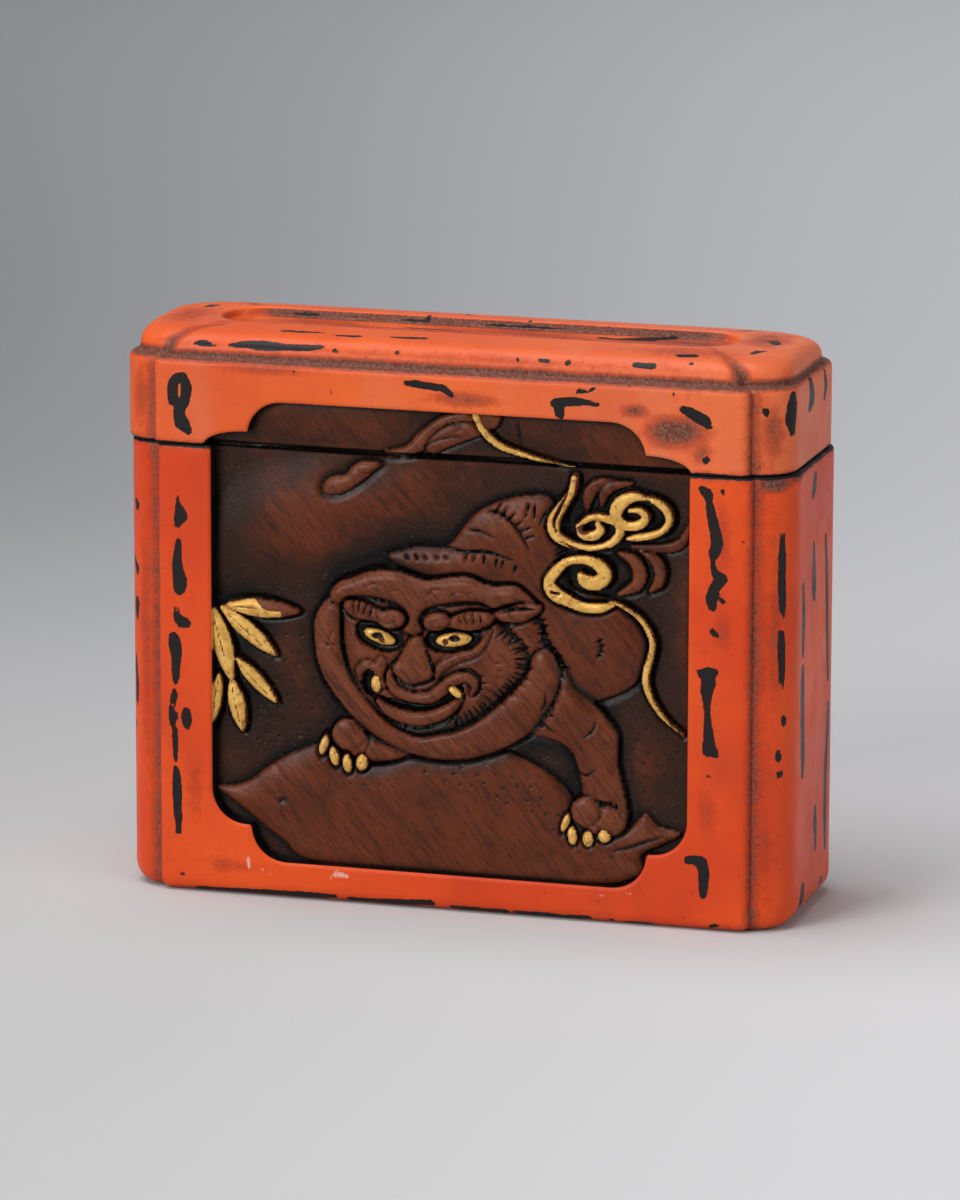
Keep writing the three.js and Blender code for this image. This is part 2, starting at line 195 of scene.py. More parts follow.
def all_round(far_quarter, near_quarter):
    """A whole ring from a quarter on the far side and one on the near side, each mirrored."""
    mirror_x = np.array((-1, 1))
    return np.concatenate((
        far_quarter[:-1],
        (far_quarter * mirror_x)[::-1][:-1],
        -near_quarter[:-1],
        (near_quarter * -mirror_x)[::-1][:-1],
    ))


def softened(ring, steps):
    """The sharp inner corners of a stepped ring, worn a little round."""
    corner = np.zeros(len(ring), bool)
    place = 0
    for far_side, forward in ((True, True), (True, False), (False, True), (False, False)):
        run = steps[0] if far_side else steps[1]
        total = sum(run)
        low, high = sum(run[:2]) + 1, sum(run[:4])
        span = (low, high) if forward else (total - high, total - low)
        corner[place + span[0]:place + span[1]] = True
        place += total
    for _ in range(corner_wear_rounds):
        middle = (np.roll(ring, 1, axis=0) + np.roll(ring, -1, axis=0)) / 2
        ring = np.where(corner[:, None], ring + 0.5 * (middle - ring), ring)
    return ring


def at_height(ring, z):
    return np.column_stack((ring, np.full(len(ring), z)))


def stepped_ring(ends, slab, inset):
    quarters = [stepped_quarter(ends, slab, inset, steps) for steps in (plain_steps, fine_steps)]
    return softened(all_round(*quarters), (plain_steps, fine_steps))


def box_ring(inset, z):
    return at_height(stepped_ring(box_ends, box_slab, inset), z)


def foot_ring(z):
    """A ring at the foot, where the ends are rounded more than the long sides."""
    insets = []
    for radius in (foot_rounding, end_foot_rounding):
        insets.append(radius - math.sqrt(radius ** 2 - max(radius - z, 0) ** 2))
    inset, end_inset = insets
    reach = box_ends[0] + inset - end_inset
    ends = (reach, box_ends[1], min(box_ends[2], reach - box_slab[0] + inset))
    return at_height(stepped_ring(ends, box_slab, inset), z)


def dome_ring(inset, end_inset, share, z):
    """A ring of the dome: stepped like the skirt at its foot, one round-cornered form at its top."""
    corner = end_corner + (dome_top_corner - end_corner) * share
    ends = (box_ends[0] + inset - end_inset, box_ends[1], corner + inset)
    slab = (box_slab[0], box_slab[1], box_slab[2] + inset)
    quarters = []
    for steps in (plain_steps, fine_steps):
        stepped = stepped_quarter(ends, slab, inset, steps)
        plain = plain_quarter(ends[0] - inset, slab[1] - inset, corner, steps)
        quarters.append(stepped + (plain - stepped) * share)
    return at_height(softened(all_round(*quarters), (plain_steps, fine_steps)), z)


def grown(form, amount):
    """A form's width, depth and corner, grown on every side."""
    width, depth, corner = form
    return width + 2 * amount, depth + 2 * amount, corner + amount


def plain_ring(form, z):
    width, depth, corner = form
    quarters = [plain_quarter(width / 2, depth / 2, corner, steps) for steps in (plain_steps, fine_steps)]
    return at_height(all_round(*quarters), z)


def panel_top_quarter(inset):
    """The panel's outline on the lid: a low shoulder that starts at the seam, and a round corner above it."""
    seam = seam_height - panel_bottom - panel_height / 2
    side = panel_width / 2 - inset
    wide, low = panel_lid_step[0] - inset, panel_lid_step[1] - inset
    middle = (side + panel_lid_widening - wide, seam)
    shoulder = [(middle[0] + wide * x, middle[1] + low * z) for x, z in arc((0, 0), 1, 0, 90)]
    top = panel_height / 2 - inset
    round_middle = (panel_tall[0] - panel_corner, panel_height / 2 - panel_corner)
    rise = [place for place in arc(round_middle, panel_corner - inset, 0, 90) if place[1] > seam + low]
    pieces = (
        [(side, 0), (side, seam)],
        [(side, seam)] + shoulder,
        [shoulder[-1], (rise[0][0], seam + low)],
        [(rise[0][0], seam + low)] + rise,
        [(round_middle[0], top), (0, top)],
    )
    return joined(pieces, panel_steps)


def panel_ring(inset, y):
    bottom = stepped_quarter(panel_broad, panel_tall, inset, panel_steps)
    ring = softened(all_round(panel_top_quarter(inset), bottom), (panel_steps, panel_steps))
    x = ring[:, 0] + panel_offset
    z = ring[:, 1] + panel_bottom + panel_height / 2
    return np.column_stack((x, np.full(len(ring), y), z))


def quarter_round(across, along, steps):
    """Insets and heights of a quarter ellipse, from the side to the top."""
    angles = np.linspace(0, math.pi / 2, steps + 1)
    return [(across * (1 - math.cos(a)), along * math.sin(a)) for a in angles]


def nothing_selected():
    if bpy.context.object and bpy.context.object.mode != "OBJECT":
        bpy.ops.object.mode_set(mode="OBJECT")
    bpy.ops.object.select_all(action="DESELECT")


def new_grid(name, columns, rows):
    """A flat grid to be laid in place: the piece, with each point's column and row."""
    nothing_selected()
    bpy.ops.mesh.primitive_grid_add(x_subdivisions=columns, y_subdivisions=rows, size=1)
    piece = bpy.context.object
    piece.name = name
    piece.data.name = name
    flat = np.empty(len(piece.data.vertices) * 3)
    piece.data.vertices.foreach_get("co", flat)
    flat = flat.reshape(-1, 3)
    column = np.rint((flat[:, 0] + 0.5) * columns).astype(int)
    row = np.rint((flat[:, 1] + 0.5) * rows).astype(int)
    return piece, column, row


def lay(piece, places):
    piece.data.vertices.foreach_set("co", (np.asarray(places) * mm).ravel())
    piece.data.update()


def close_up():
    """Joins what meets, fills the open ends flat and turns every face outwards."""
    bpy.ops.object.mode_set(mode="EDIT")
    bpy.ops.mesh.select_mode(type="VERT")
    bpy.ops.mesh.select_all(action="SELECT")
    bpy.ops.mesh.remove_doubles(threshold=weld_distance * mm)
    bpy.ops.mesh.select_all(action="SELECT")
    bpy.ops.mesh.fill_holes(sides=0)
    bpy.ops.mesh.select_all(action="SELECT")
    bpy.ops.mesh.normals_make_consistent(inside=False)
    bpy.ops.object.mode_set(mode="OBJECT")


def sleeve(name, rings):
    """A closed skin drawn over a stack of rings."""
    rings = np.array(rings)
    columns = rings.shape[1]
    piece, column, row = new_grid(name, columns, len(rings) - 1)
    lay(piece, rings[row, column % columns])
    close_up()
    return piece


def combine(piece, other, operation):
    """Cuts or joins with another closed piece, which is used up."""
    nothing_selected()
    piece.select_set(True)
    bpy.context.view_layer.objects.active = piece
    change = piece.modifiers.new("join", "BOOLEAN")
    change.operation = operation
    change.solver = "MANIFOLD"
    change.object = other
    bpy.ops.object.modifier_apply(modifier=change.name)
    bpy.data.objects.remove(other)


# Carving: places are hundredths of the panel's height, across from its middle and up from its foot
# Heights are shares of its depth, from 0 on the ground to 1 at the level of the frame
hundredth = carving_height / 100
grid_pitch = 0.232
grid_margin = 1.3
grid_width = panel_width + 2 * grid_margin
grid_height = carving_height + 2 * grid_margin
grid_columns = int(grid_width / grid_pitch)
grid_rows = int(grid_height / grid_pitch)
seam_row = (seam_height - carving_foot) / hundredth


def smooth_line(places, closed=False, samples=6):
    """The places joined by a smooth line."""
    places = np.array(places, float)
    if closed:
        around = np.concatenate((places[-1:], places, places[:2]))
    else:
        first = 2 * places[:1] - places[1:2]
        last = 2 * places[-1:] - places[-2:-1]
        around = np.concatenate((first, places, last))
    t = np.arange(samples)[:, None] / samples
    line = []
    for a, b, c, d in zip(around, around[1:], around[2:], around[3:]):
        bend = 2 * a - 5 * b + 4 * c - d
        turn = 3 * b - a - 3 * c + d
        line.append(b + 0.5 * ((c - a) * t + bend * t ** 2 + turn * t ** 3))
    if not closed:
        line.append(places[-1:])
    return np.concatenate(line)


def along_segment(u, v, start, end):
    """The share along a straight run that each point is nearest to, and how far off it is."""
    du, dv = end[0] - start[0], end[1] - start[1]
    share = ((u - start[0]) * du + (v - start[1]) * dv) / max(du * du + dv * dv, 1e-9)
    share = np.clip(share, 0, 1)
    return share, np.hypot(u - start[0] - share * du, v - start[1] - share * dv)


def strip_inside(u, v, line):
    """How deep each point lies inside a strip whose line gives places and half widths."""
    inside = np.full(u.shape, -far)
    for start, end in zip(line, line[1:]):
        share, away = along_segment(u, v, start, end)
        inside = np.maximum(inside, start[2] + (end[2] - start[2]) * share - away)
    return inside


def outline_inside(u, v, line):
    """How deep each point lies inside a closed outline, below zero outside it."""
    away = np.full(u.shape, far)
    within = np.zeros(u.shape, bool)
    for start, end in zip(line, np.roll(line, -1, axis=0)):
        away = np.minimum(away, along_segment(u, v, start, end)[1])
        rise = end[1] - start[1]
        if rise:
            crossing = start[0] + (v - start[1]) * (end[0] - start[0]) / rise
            within ^= ((start[1] <= v) != (end[1] <= v)) & (u < crossing)
    return np.where(within, away, -away)


# Levels that the carving starts from, how much painted shade a cut gets for its depth, and the half width of
# a cut's ends
ground_height = 0.1
bare = -2.0
cut_shade_strength = 3.6
fine_end = 0.3

# Shares along a leaf with its half width at each, and the shares that its vein runs through
leaf_widths = ((0.0, 0.35), (0.12, 0.62), (0.3, 0.95), (0.5, 1), (0.7, 0.82), (0.88, 0.45), (1.0, 0.08))
vein_shares = (0.12, 0.35, 0.6, 0.78)
vein_half = 0.22


def oval_ratio(u, v, reach, tilt):
    """How far out points lie in a tilted oval, with 1 on its edge."""
    turn = math.radians(tilt)
    along = u * math.cos(turn) + v * math.sin(turn)
    across = v * math.cos(turn) - u * math.sin(turn)
    return np.hypot(along / reach[0], across / reach[1])


class Carving:
    """The panel's relief, cut form by form from the back to the front."""

    def __init__(self):
        across = (np.arange(grid_columns + 1) / grid_columns - 0.5) * grid_width / hundredth
        up = (np.arange(grid_rows + 1) / grid_rows * grid_height - grid_margin) / hundredth
        self.u, self.v = [line.ravel() for line in np.meshgrid(across, up)]
        self.height = np.full(self.u.shape, ground_height)
        self.gilt = np.full(self.u.shape, bare)
        self.dark = np.zeros(self.u.shape)

    def near(self, line, reach):
        line = np.array(line)
        low = line[:, :2].min(axis=0) - reach
        high = line[:, :2].max(axis=0) + reach
        mask = (self.u > low[0]) & (self.u < high[0]) & (self.v > low[1]) & (self.v < high[1])
        return np.nonzero(mask)[0]

    def put(self, some, inside, top, edge, soft, cut=0.1, cut_width=1.0, gilded=False, keep=0.0):
        """Raises a form with a rounded edge and a cut round it. keep is its share of what lies below."""
        share = np.clip(inside / soft, 0, 1)
        shape = edge + (top - edge) * np.sqrt(1 - (1 - share) ** 2)
        below = self.height[some]
        shape = shape + keep * (below - edge)
        beside = below - cut * np.clip(1 + inside / cut_width, 0, 1)
        self.height[some] = np.where(inside > 0, shape, np.maximum(beside, np.minimum(below, 0)))
        self.dark[some] = np.where(inside > 0, 0, self.dark[some])
        if gilded:
            self.gilt[some] = np.maximum(self.gilt[some], inside)
        else:
            self.gilt[some] = np.minimum(self.gilt[some], -inside)

    def form(self, places, top, edge, soft, **more):
        line = smooth_line(places, closed=True)
        some = self.near(line, 2)
        self.put(some, outline_inside(self.u[some], self.v[some], line), top, edge, soft, **more)

    def strip(self, places, top, edge, soft, **more):
        line = smooth_line(places)
        some = self.near(line, line[:, 2].max() + 2)
        self.put(some, strip_inside(self.u[some], self.v[some], line), top, edge, soft, **more)

    def oval(self, middle, reach, tilt, top, edge, soft, **more):
        some = self.near([middle], max(reach) + 2)
        u, v = self.u[some] - middle[0], self.v[some] - middle[1]
        ratio = oval_ratio(u, v, reach, tilt)
        inside = (1 - ratio) * np.minimum(reach[0], np.hypot(u, v) / np.maximum(ratio, 0.05))
        self.put(some, inside, top, edge, soft, **more)

    def leaf(self, stem, tip, half, top, edge):
        """A gilded leaf with a fine vein, where the gilding is thin."""
        stem, tip = np.array(stem), np.array(tip)
        places = [(*(stem + (tip - stem) * t), half * share) for t, share in leaf_widths]
        self.strip(places, top, edge, half, cut=0.14, gilded=True)
        vein = [(*(stem + (tip - stem) * t), vein_half) for t in vein_shares]
        self.groove(vein, 0.08)
        some = self.near(vein, 1)
        thin = 0.3 - strip_inside(self.u[some], self.v[some], np.array(vein)) * 1.5
        self.gilt[some] = np.minimum(self.gilt[some], thin)

    def swell(self, middle, reach, tilt, amount):
        """A soft rise, or a soft hollow where amount is below zero."""
        ratio = oval_ratio(self.u - middle[0], self.v - middle[1], reach, tilt)
        self.height += amount * np.clip(1 - ratio ** 2, 0, 1) ** 2

    def shade_patch(self, middle, reach, tilt, amount):
        """A soft dark patch of painted shade."""
        ratio = oval_ratio(self.u - middle[0], self.v - middle[1], reach, tilt)
        self.dark += amount * np.clip(1 - ratio ** 2, 0, 1)

    def pierce(self, middle, reach, around, depth):
        """A hole through the gilding: the points round it, and how deep each lies in it."""
        some = self.near([middle], around)
        inside = 1 - oval_ratio(self.u[some] - middle[0], self.v[some] - middle[1], reach, 0)
        self.gilt[some] = np.minimum(self.gilt[some], 0.1 - inside)
        self.height[some] -= depth * np.clip(inside * 2, 0, 1)
        return some, inside

    def groove(self, places, depth):
        line = smooth_line(places) if len(places) > 2 else np.array(places, float)
        some = self.near(line, line[:, 2].max() + 1)
        inside = strip_inside(self.u[some], self.v[some], line)
        share = np.clip(inside / line[:, 2].max(), 0, 1)
        self.height[some] = np.maximum(self.height[some] - depth * share, 0)
        # Painted shade in the cut, darker where it is deeper
        self.dark[some] = np.maximum(self.dark[some], cut_shade_strength * depth * share)

    def crease(self, places, half, depth):
        """A groove of one width that ends fine."""
        halves = [fine_end] + [half] * (len(places) - 2) + [fine_end]
        self.groove([(u, v, width) for (u, v), width in zip(places, halves)], depth)

    def hair(self, places, reach, spacing, depth, lean=0.0, half=0.36):
        """Short cuts across a line, reach to each side of it."""
        line = smooth_line([(u, v) for u, v in places])
        length = np.concatenate(([0], np.cumsum(np.hypot(*np.diff(line, axis=0).T))))
        for at in np.arange(spacing / 2, length[-1], spacing):
            at = at + chance.uniform(-0.2, 0.2) * spacing
            here = np.array([np.interp(at, length, line[:, k]) for k in (0, 1)])
            ahead = np.array([np.interp(at + 0.3, length, line[:, k]) for k in (0, 1)]) - here
            angle = math.atan2(ahead[1], ahead[0]) + math.pi / 2 + math.radians(lean)
            angle += chance.uniform(-0.2, 0.2)
            way = np.array((math.cos(angle), math.sin(angle)))
            left, right = reach[0] * chance.uniform(0.55, 1.1), reach[1] * chance.uniform(0.55, 1.1)
            start, end = here + way * left, here - way * right
            self.groove([(*start, half * 0.7), (*here, half * 1.15), (*end, half * 0.7)], depth)

    def punch(self, outline, spacing, depth, radius=0.42):
        """Rows of small punched dots inside an outline."""
        line = smooth_line(outline, closed=True)
        low, high = line.min(axis=0), line.max(axis=0)
        for row, v in enumerate(np.arange(low[1], high[1], spacing * 0.85)):
            for u in np.arange(low[0] + (row % 2) * spacing / 2, high[0], spacing):
                place = np.array((u, v)) + chance.uniform(-0.28, 0.28, 2) * spacing
                inside = outline_inside(place[:1], place[1:], line)[0]
                if inside > 0.6:
                    self.groove([(*place, radius), (place[0] + 0.1, place[1], radius)], depth)


def carve_landscape(c):
    c.swell((-30, 76), (46, 16), 20, 0.44)
    c.swell((-52, 78), (12, 40), 0, -0.16)
    c.swell((34, 96), (40, 9), -8, 0.2)
    # The lid's part of the hill, raised so that the height-driven tint also paints it lighter: a painted
    # highlight
    c.swell((-24, 97), (32, 9), 0, 0.3)
    c.swell((54, 56), (9, 34), 0, 0.22)
    c.swell((-34, 40), (14, 26), 30, 0.12)
    c.swell((41, 26), (14, 16), 0, 0.1)
    c.form([(-52.9, 14.4), (-49, 14.9), (-45.3, 16.4), (-41.5, 19.4), (-38.4, 21.6), (-34.4, 23.8),
            (-29.4, 25.3), (-24, 22.6), (-15.8, 22), (-9.4, 24.6), (1.3, 24.4), (11.2, 26.8),
            (15.5, 25.8), (21.9, 22.6), (26.1, 19.2), (30, 14), (38.8, 12), (43, 15.2), (46, 12.8),
            (51.2, 11.4), (47, 8.6), (42.6, 6), (41.6, 1), (20, -3), (-27.3, -1.6), (-38.1, 3.8),
            (-44.6, 8.3), (-48.9, 11.4)], 0.56, 0.2, 5.5, cut=0.06, cut_width=2.0)
    c.swell((-8, 11), (34, 13), -2, 0.1)
    c.swell((-34, 17), (9, 6), 20, 0.07)
    c.groove([(-39.5, 20.5, 0.8), (-36.6, 17.4, 1.0), (-32, 14.6, 0.7)], 0.05)
    c.groove([(-37.9, 12.6, 1.1), (-37.2, 12.7, 1.1)], 0.12)
    c.groove([(36.6, 6.9, 0.5), (41, 8.2, 0.9), (47, 10.6, 0.6)], 0.16)
    c.punch([(-44, 48), (-30, 50), (-24, 38), (-27, 28), (-40, 24), (-49, 22), (-42, 34)], 3.5, 0.1)
    c.punch([(-49, 20), (-30, 27), (-30, 29), (-44, 27), (-50, 24)], 3.0, 0.08, 0.34)
    c.punch([(-6, 22), (12, 24.6), (24, 18), (25, 8), (18, 12), (8, 17), (-6, 19)], 3.3, 0.1)
    c.punch([(-33, 20), (-24, 19.6), (-8, 20.6), (-8, 17), (-24, 14), (-34, 16)], 3.4, 0.08, 0.36)
    c.punch([(40, 36), (50, 32), (52, 18), (46, 17), (40, 17)], 3.1, 0.09, 0.36)
    c.punch([(24, 9), (26, 3), (38, 5), (36, 8), (28, 8)], 2.9, 0.08, 0.32)


def carve_tail(c):
    c.swell((-20, 85), (14, 7), 20, -0.1)
    c.form([(-28.4, 81.5), (-27.6, 83.6), (-25.7, 84.6), (-23.4, 85.1), (-22, 86.7), (-19.9, 88),
            (-16.7, 88.2), (-15.4, 87.5), (-17.6, 85.6), (-19.4, 83.8), (-21.9, 82), (-24.7, 80.6),
            (-27.4, 80.4)], 0.66, 0.34, 2.6, cut=0.12, cut_width=1.6)
    c.crease([(-20.6, 86.6), (-18.8, 85.6), (-17.4, 86.2)], 0.5, 0.12)
    c.strip([(-13.6, 89.8, 0.9), (-8.6, 91, 1.3), (-5.1, 93.6, 2), (-0.9, 96.2, 2.6), (3.7, 98, 2.6),
             (9, 99, 2.6)], 0.56, 0.26, 2.2, cut=0.08)
    c.form([(-3, 90.6), (-5, 91.6), (-3.7, 94.6), (0.5, 97.4), (6.1, 98), (7.6, 95.4), (5.2, 94.2),
            (0.5, 92.2)], 0.5, 0.24, 2.0, cut=0.06)
    c.groove([(-5.2, 92.2, 0.3), (-1, 94, 0.5), (4, 94.8, 0.4)], 0.12)
    c.groove([(15.2, 98.4, 0.4), (15.6, 96, 0.6), (16.2, 93.4, 0.3)], 0.12)
    c.hair([(2.4, 97.6), (2.8, 95.4)], (1.2, 1.2), 0.9, 0.1)


def carve_body(c):
    c.form([(-13.6, 66.8), (-10.8, 69.3), (-7, 70.3), (-2.2, 70.4), (0.6, 72.2), (3.2, 75.8), (6.2, 78.8),
            (11.8, 81.6), (18.1, 83), (22.3, 82.2), (25, 76), (25.4, 70), (27, 63.5), (33, 62.2), (38, 59.8),
            (42.7, 54.4), (43.6, 48.9), (40.9, 43.6), (36, 40.4), (30, 38), (20, 34), (6, 40), (0, 56)],
           0.58, 0.2, 6.5, cut=0.12, cut_width=1.8)
    c.swell((15, 74), (11, 9), 30, 0.12)
    c.swell((31, 51), (12, 9), -20, 0.16)
    c.swell((2, 67.4), (13, 3.4), 6, 0.12)
    c.swell((26.4, 66), (3.6, 10), 0, -0.14)
    c.crease([(-1.6, 70.6), (3.4, 69.9), (8.3, 70.2), (14.3, 68.7)], 0.6, 0.22)
    c.crease([(7.6, 79), (11.1, 78.6), (14.6, 76), (17.6, 71.4)], 0.5, 0.22)
    c.groove([(3.4, 74.4, 0.25), (6.6, 74.6, 0.45), (10.4, 73.2, 0.25)], 0.16)
    c.hair([(9, 79.4), (14, 77.4), (18, 73)], (2.0, 0.9), 1.9, 0.2, lean=-12, half=0.42)
    c.hair([(16.4, 80.6), (21.6, 78), (24.6, 73), (25, 68)], (1.5, 2.0), 1.8, 0.2, lean=18, half=0.42)
    c.hair([(2.4, 69), (9, 68.8), (15.6, 67)], (0.6, 1.8), 2.2, 0.18, half=0.4)
    c.hair([(-11, 67.4), (-4.4, 68), (0.6, 68.4)], (1.2, 0.4), 2.3, 0.16, lean=30, half=0.38)
    c.crease([(32.9, 53.4), (33.6, 51.1), (32.6, 48.6)], 0.55, 0.14)
    c.hair([(33.2, 53.4), (33.8, 51), (33, 48.8)], (1.2, 1.4), 1.2, 0.15)
    c.form([(15, 58.6), (18.8, 57.4), (20.4, 54.6), (22, 51.6), (24.4, 48.6), (26.2, 45.4), (28, 42.2),
            (32, 38.6), (36.6, 33.2), (37.3, 30), (37.3, 25.6), (38.6, 20), (39.4, 15.6), (39.2, 12.4),
            (37.2, 10.4), (32.6, 10.6), (29.8, 13.6), (29.4, 18), (28.7, 22.8), (27.2, 27.2), (24, 29.6),
            (19.4, 30.6), (14.4, 31.6), (8, 34), (6, 46)], 0.74, 0.3, 4.4, cut=0.1, cut_width=1.3)
    c.swell((22, 40), (9, 8), 30, 0.08)
    c.swell((33, 29), (4, 9), 10, 0.06)
    c.groove([(13.2, 30.8, 0.5), (17, 33.4, 1.1), (20.4, 33.6, 0.9), (23.6, 32, 0.4)], 0.22)
    c.oval((34, 13.4), (5.3, 3.9), 0, 0.84, 0.4, 3.4, cut=0.08)
    c.oval((30.4, 15.1), (3.4, 3.2), 20, 0.88, 0.6, 2.9, cut=0.08, cut_width=0.8)
    c.crease([(28.2, 23.8), (30.4, 23.1), (32.8, 24.8)], 0.55, 0.15)
    c.crease([(32.7, 18), (34.9, 17.4), (37.3, 18.2)], 0.5, 0.13)
    c.hair([(33.2, 17.4), (35.4, 17), (37.4, 17.4)], (0.2, 1.5), 1.1, 0.14)
    c.crease([(32.6, 35.2), (31.9, 33.2), (30.2, 31.4)], 0.55, 0.15)
    c.crease([(21.6, 40.6), (21, 38.6), (19.9, 37)], 0.5, 0.14)
    c.hair([(19.4, 43.6), (22.6, 39.4), (22.6, 34.4)], (0.6, 0.9), 1.7, 0.13)
    c.crease([(19.2, 57.2), (20.8, 54.4), (20.6, 51.6), (23, 49), (24.9, 45.7), (22.9, 43)], 0.6, 0.17)
    c.hair([(19.6, 56.6), (20.8, 54), (21, 51.4), (23.2, 48.8), (24.8, 45.6), (23, 43.2)], (1.9, 1.6),
           1.45, 0.18)


def carve_left_paw(c):
    c.strip([(-23.4, 27.6, 3.1), (-18.6, 25.8, 3.1), (-13.6, 25.1, 2.2), (-9, 25.2, 0.8)],
            0.74, 0.34, 2.6, cut=0.14)
    c.oval((-22.4, 28.2), (3.8, 3.5), -20, 0.82, 0.56, 3.2, cut=0.05, cut_width=0.8)
    c.groove([(-19.6, 30.6, 0.4), (-17.8, 27.6, 0.7), (-18.8, 24.6, 0.5)], 0.12)
    c.hair([(-16.4, 29.4), (-13.4, 27.2), (-9.6, 26.6)], (1.3, 1.1), 1.5, 0.13)


def carve_claws(c):
    left = ((-28.1, 25.5, 1.1, 2.3, -16), (-25.7, 23.2, 1.25, 2.2, 14), (-22.8, 21.9, 1.2, 2.1, 6),
            (-19.5, 22.3, 1.5, 1.9, -8))
    right = ((25.9, 12.3, 1.0, 2.3, -20), (27.4, 9.6, 1.2, 2.1, 6), (30.9, 9.2, 1.4, 1.8, 0),
             (34.5, 10, 1.6, 1.5, 10))
    for across, up, wide, tall, tilt in left + right:
        c.oval((across, up), (wide * 0.94, tall * 1.06), tilt, 0.84, 0.44, 1.1, cut=0.16, cut_width=0.6,
               gilded=True)


def carve_collar(c):
    c.strip([(-25, 57.4, 2.2), (-27, 53.2, 3), (-27.2, 49.6, 3.2), (-25.8, 42.8, 3.3), (-20.1, 35.5, 3.6),
             (-13.6, 30.8, 3.9), (-5.8, 28.4, 4.1), (2.7, 28.6, 4.3), (10.5, 31.8, 4.6), (16.4, 36.8, 4.9),
             (20.2, 42.4, 4.4), (20.8, 47, 3.0)],
            0.82, 0.36, 4.0, cut=0.16, cut_width=1.3)
    c.crease([(-25.3, 52), (-26.6, 49.6), (-27.2, 47)], 0.5, 0.1)
    c.crease([(-29.2, 48.3), (-26.8, 47.9), (-24.4, 48.2)], 0.45, 0.1)
    c.crease([(-24.6, 46.8), (-24.7, 45.2), (-23.8, 43.4)], 0.4, 0.1)
    c.crease([(21.4, 41), (21.4, 38.6), (20.4, 36.6)], 0.5, 0.12)


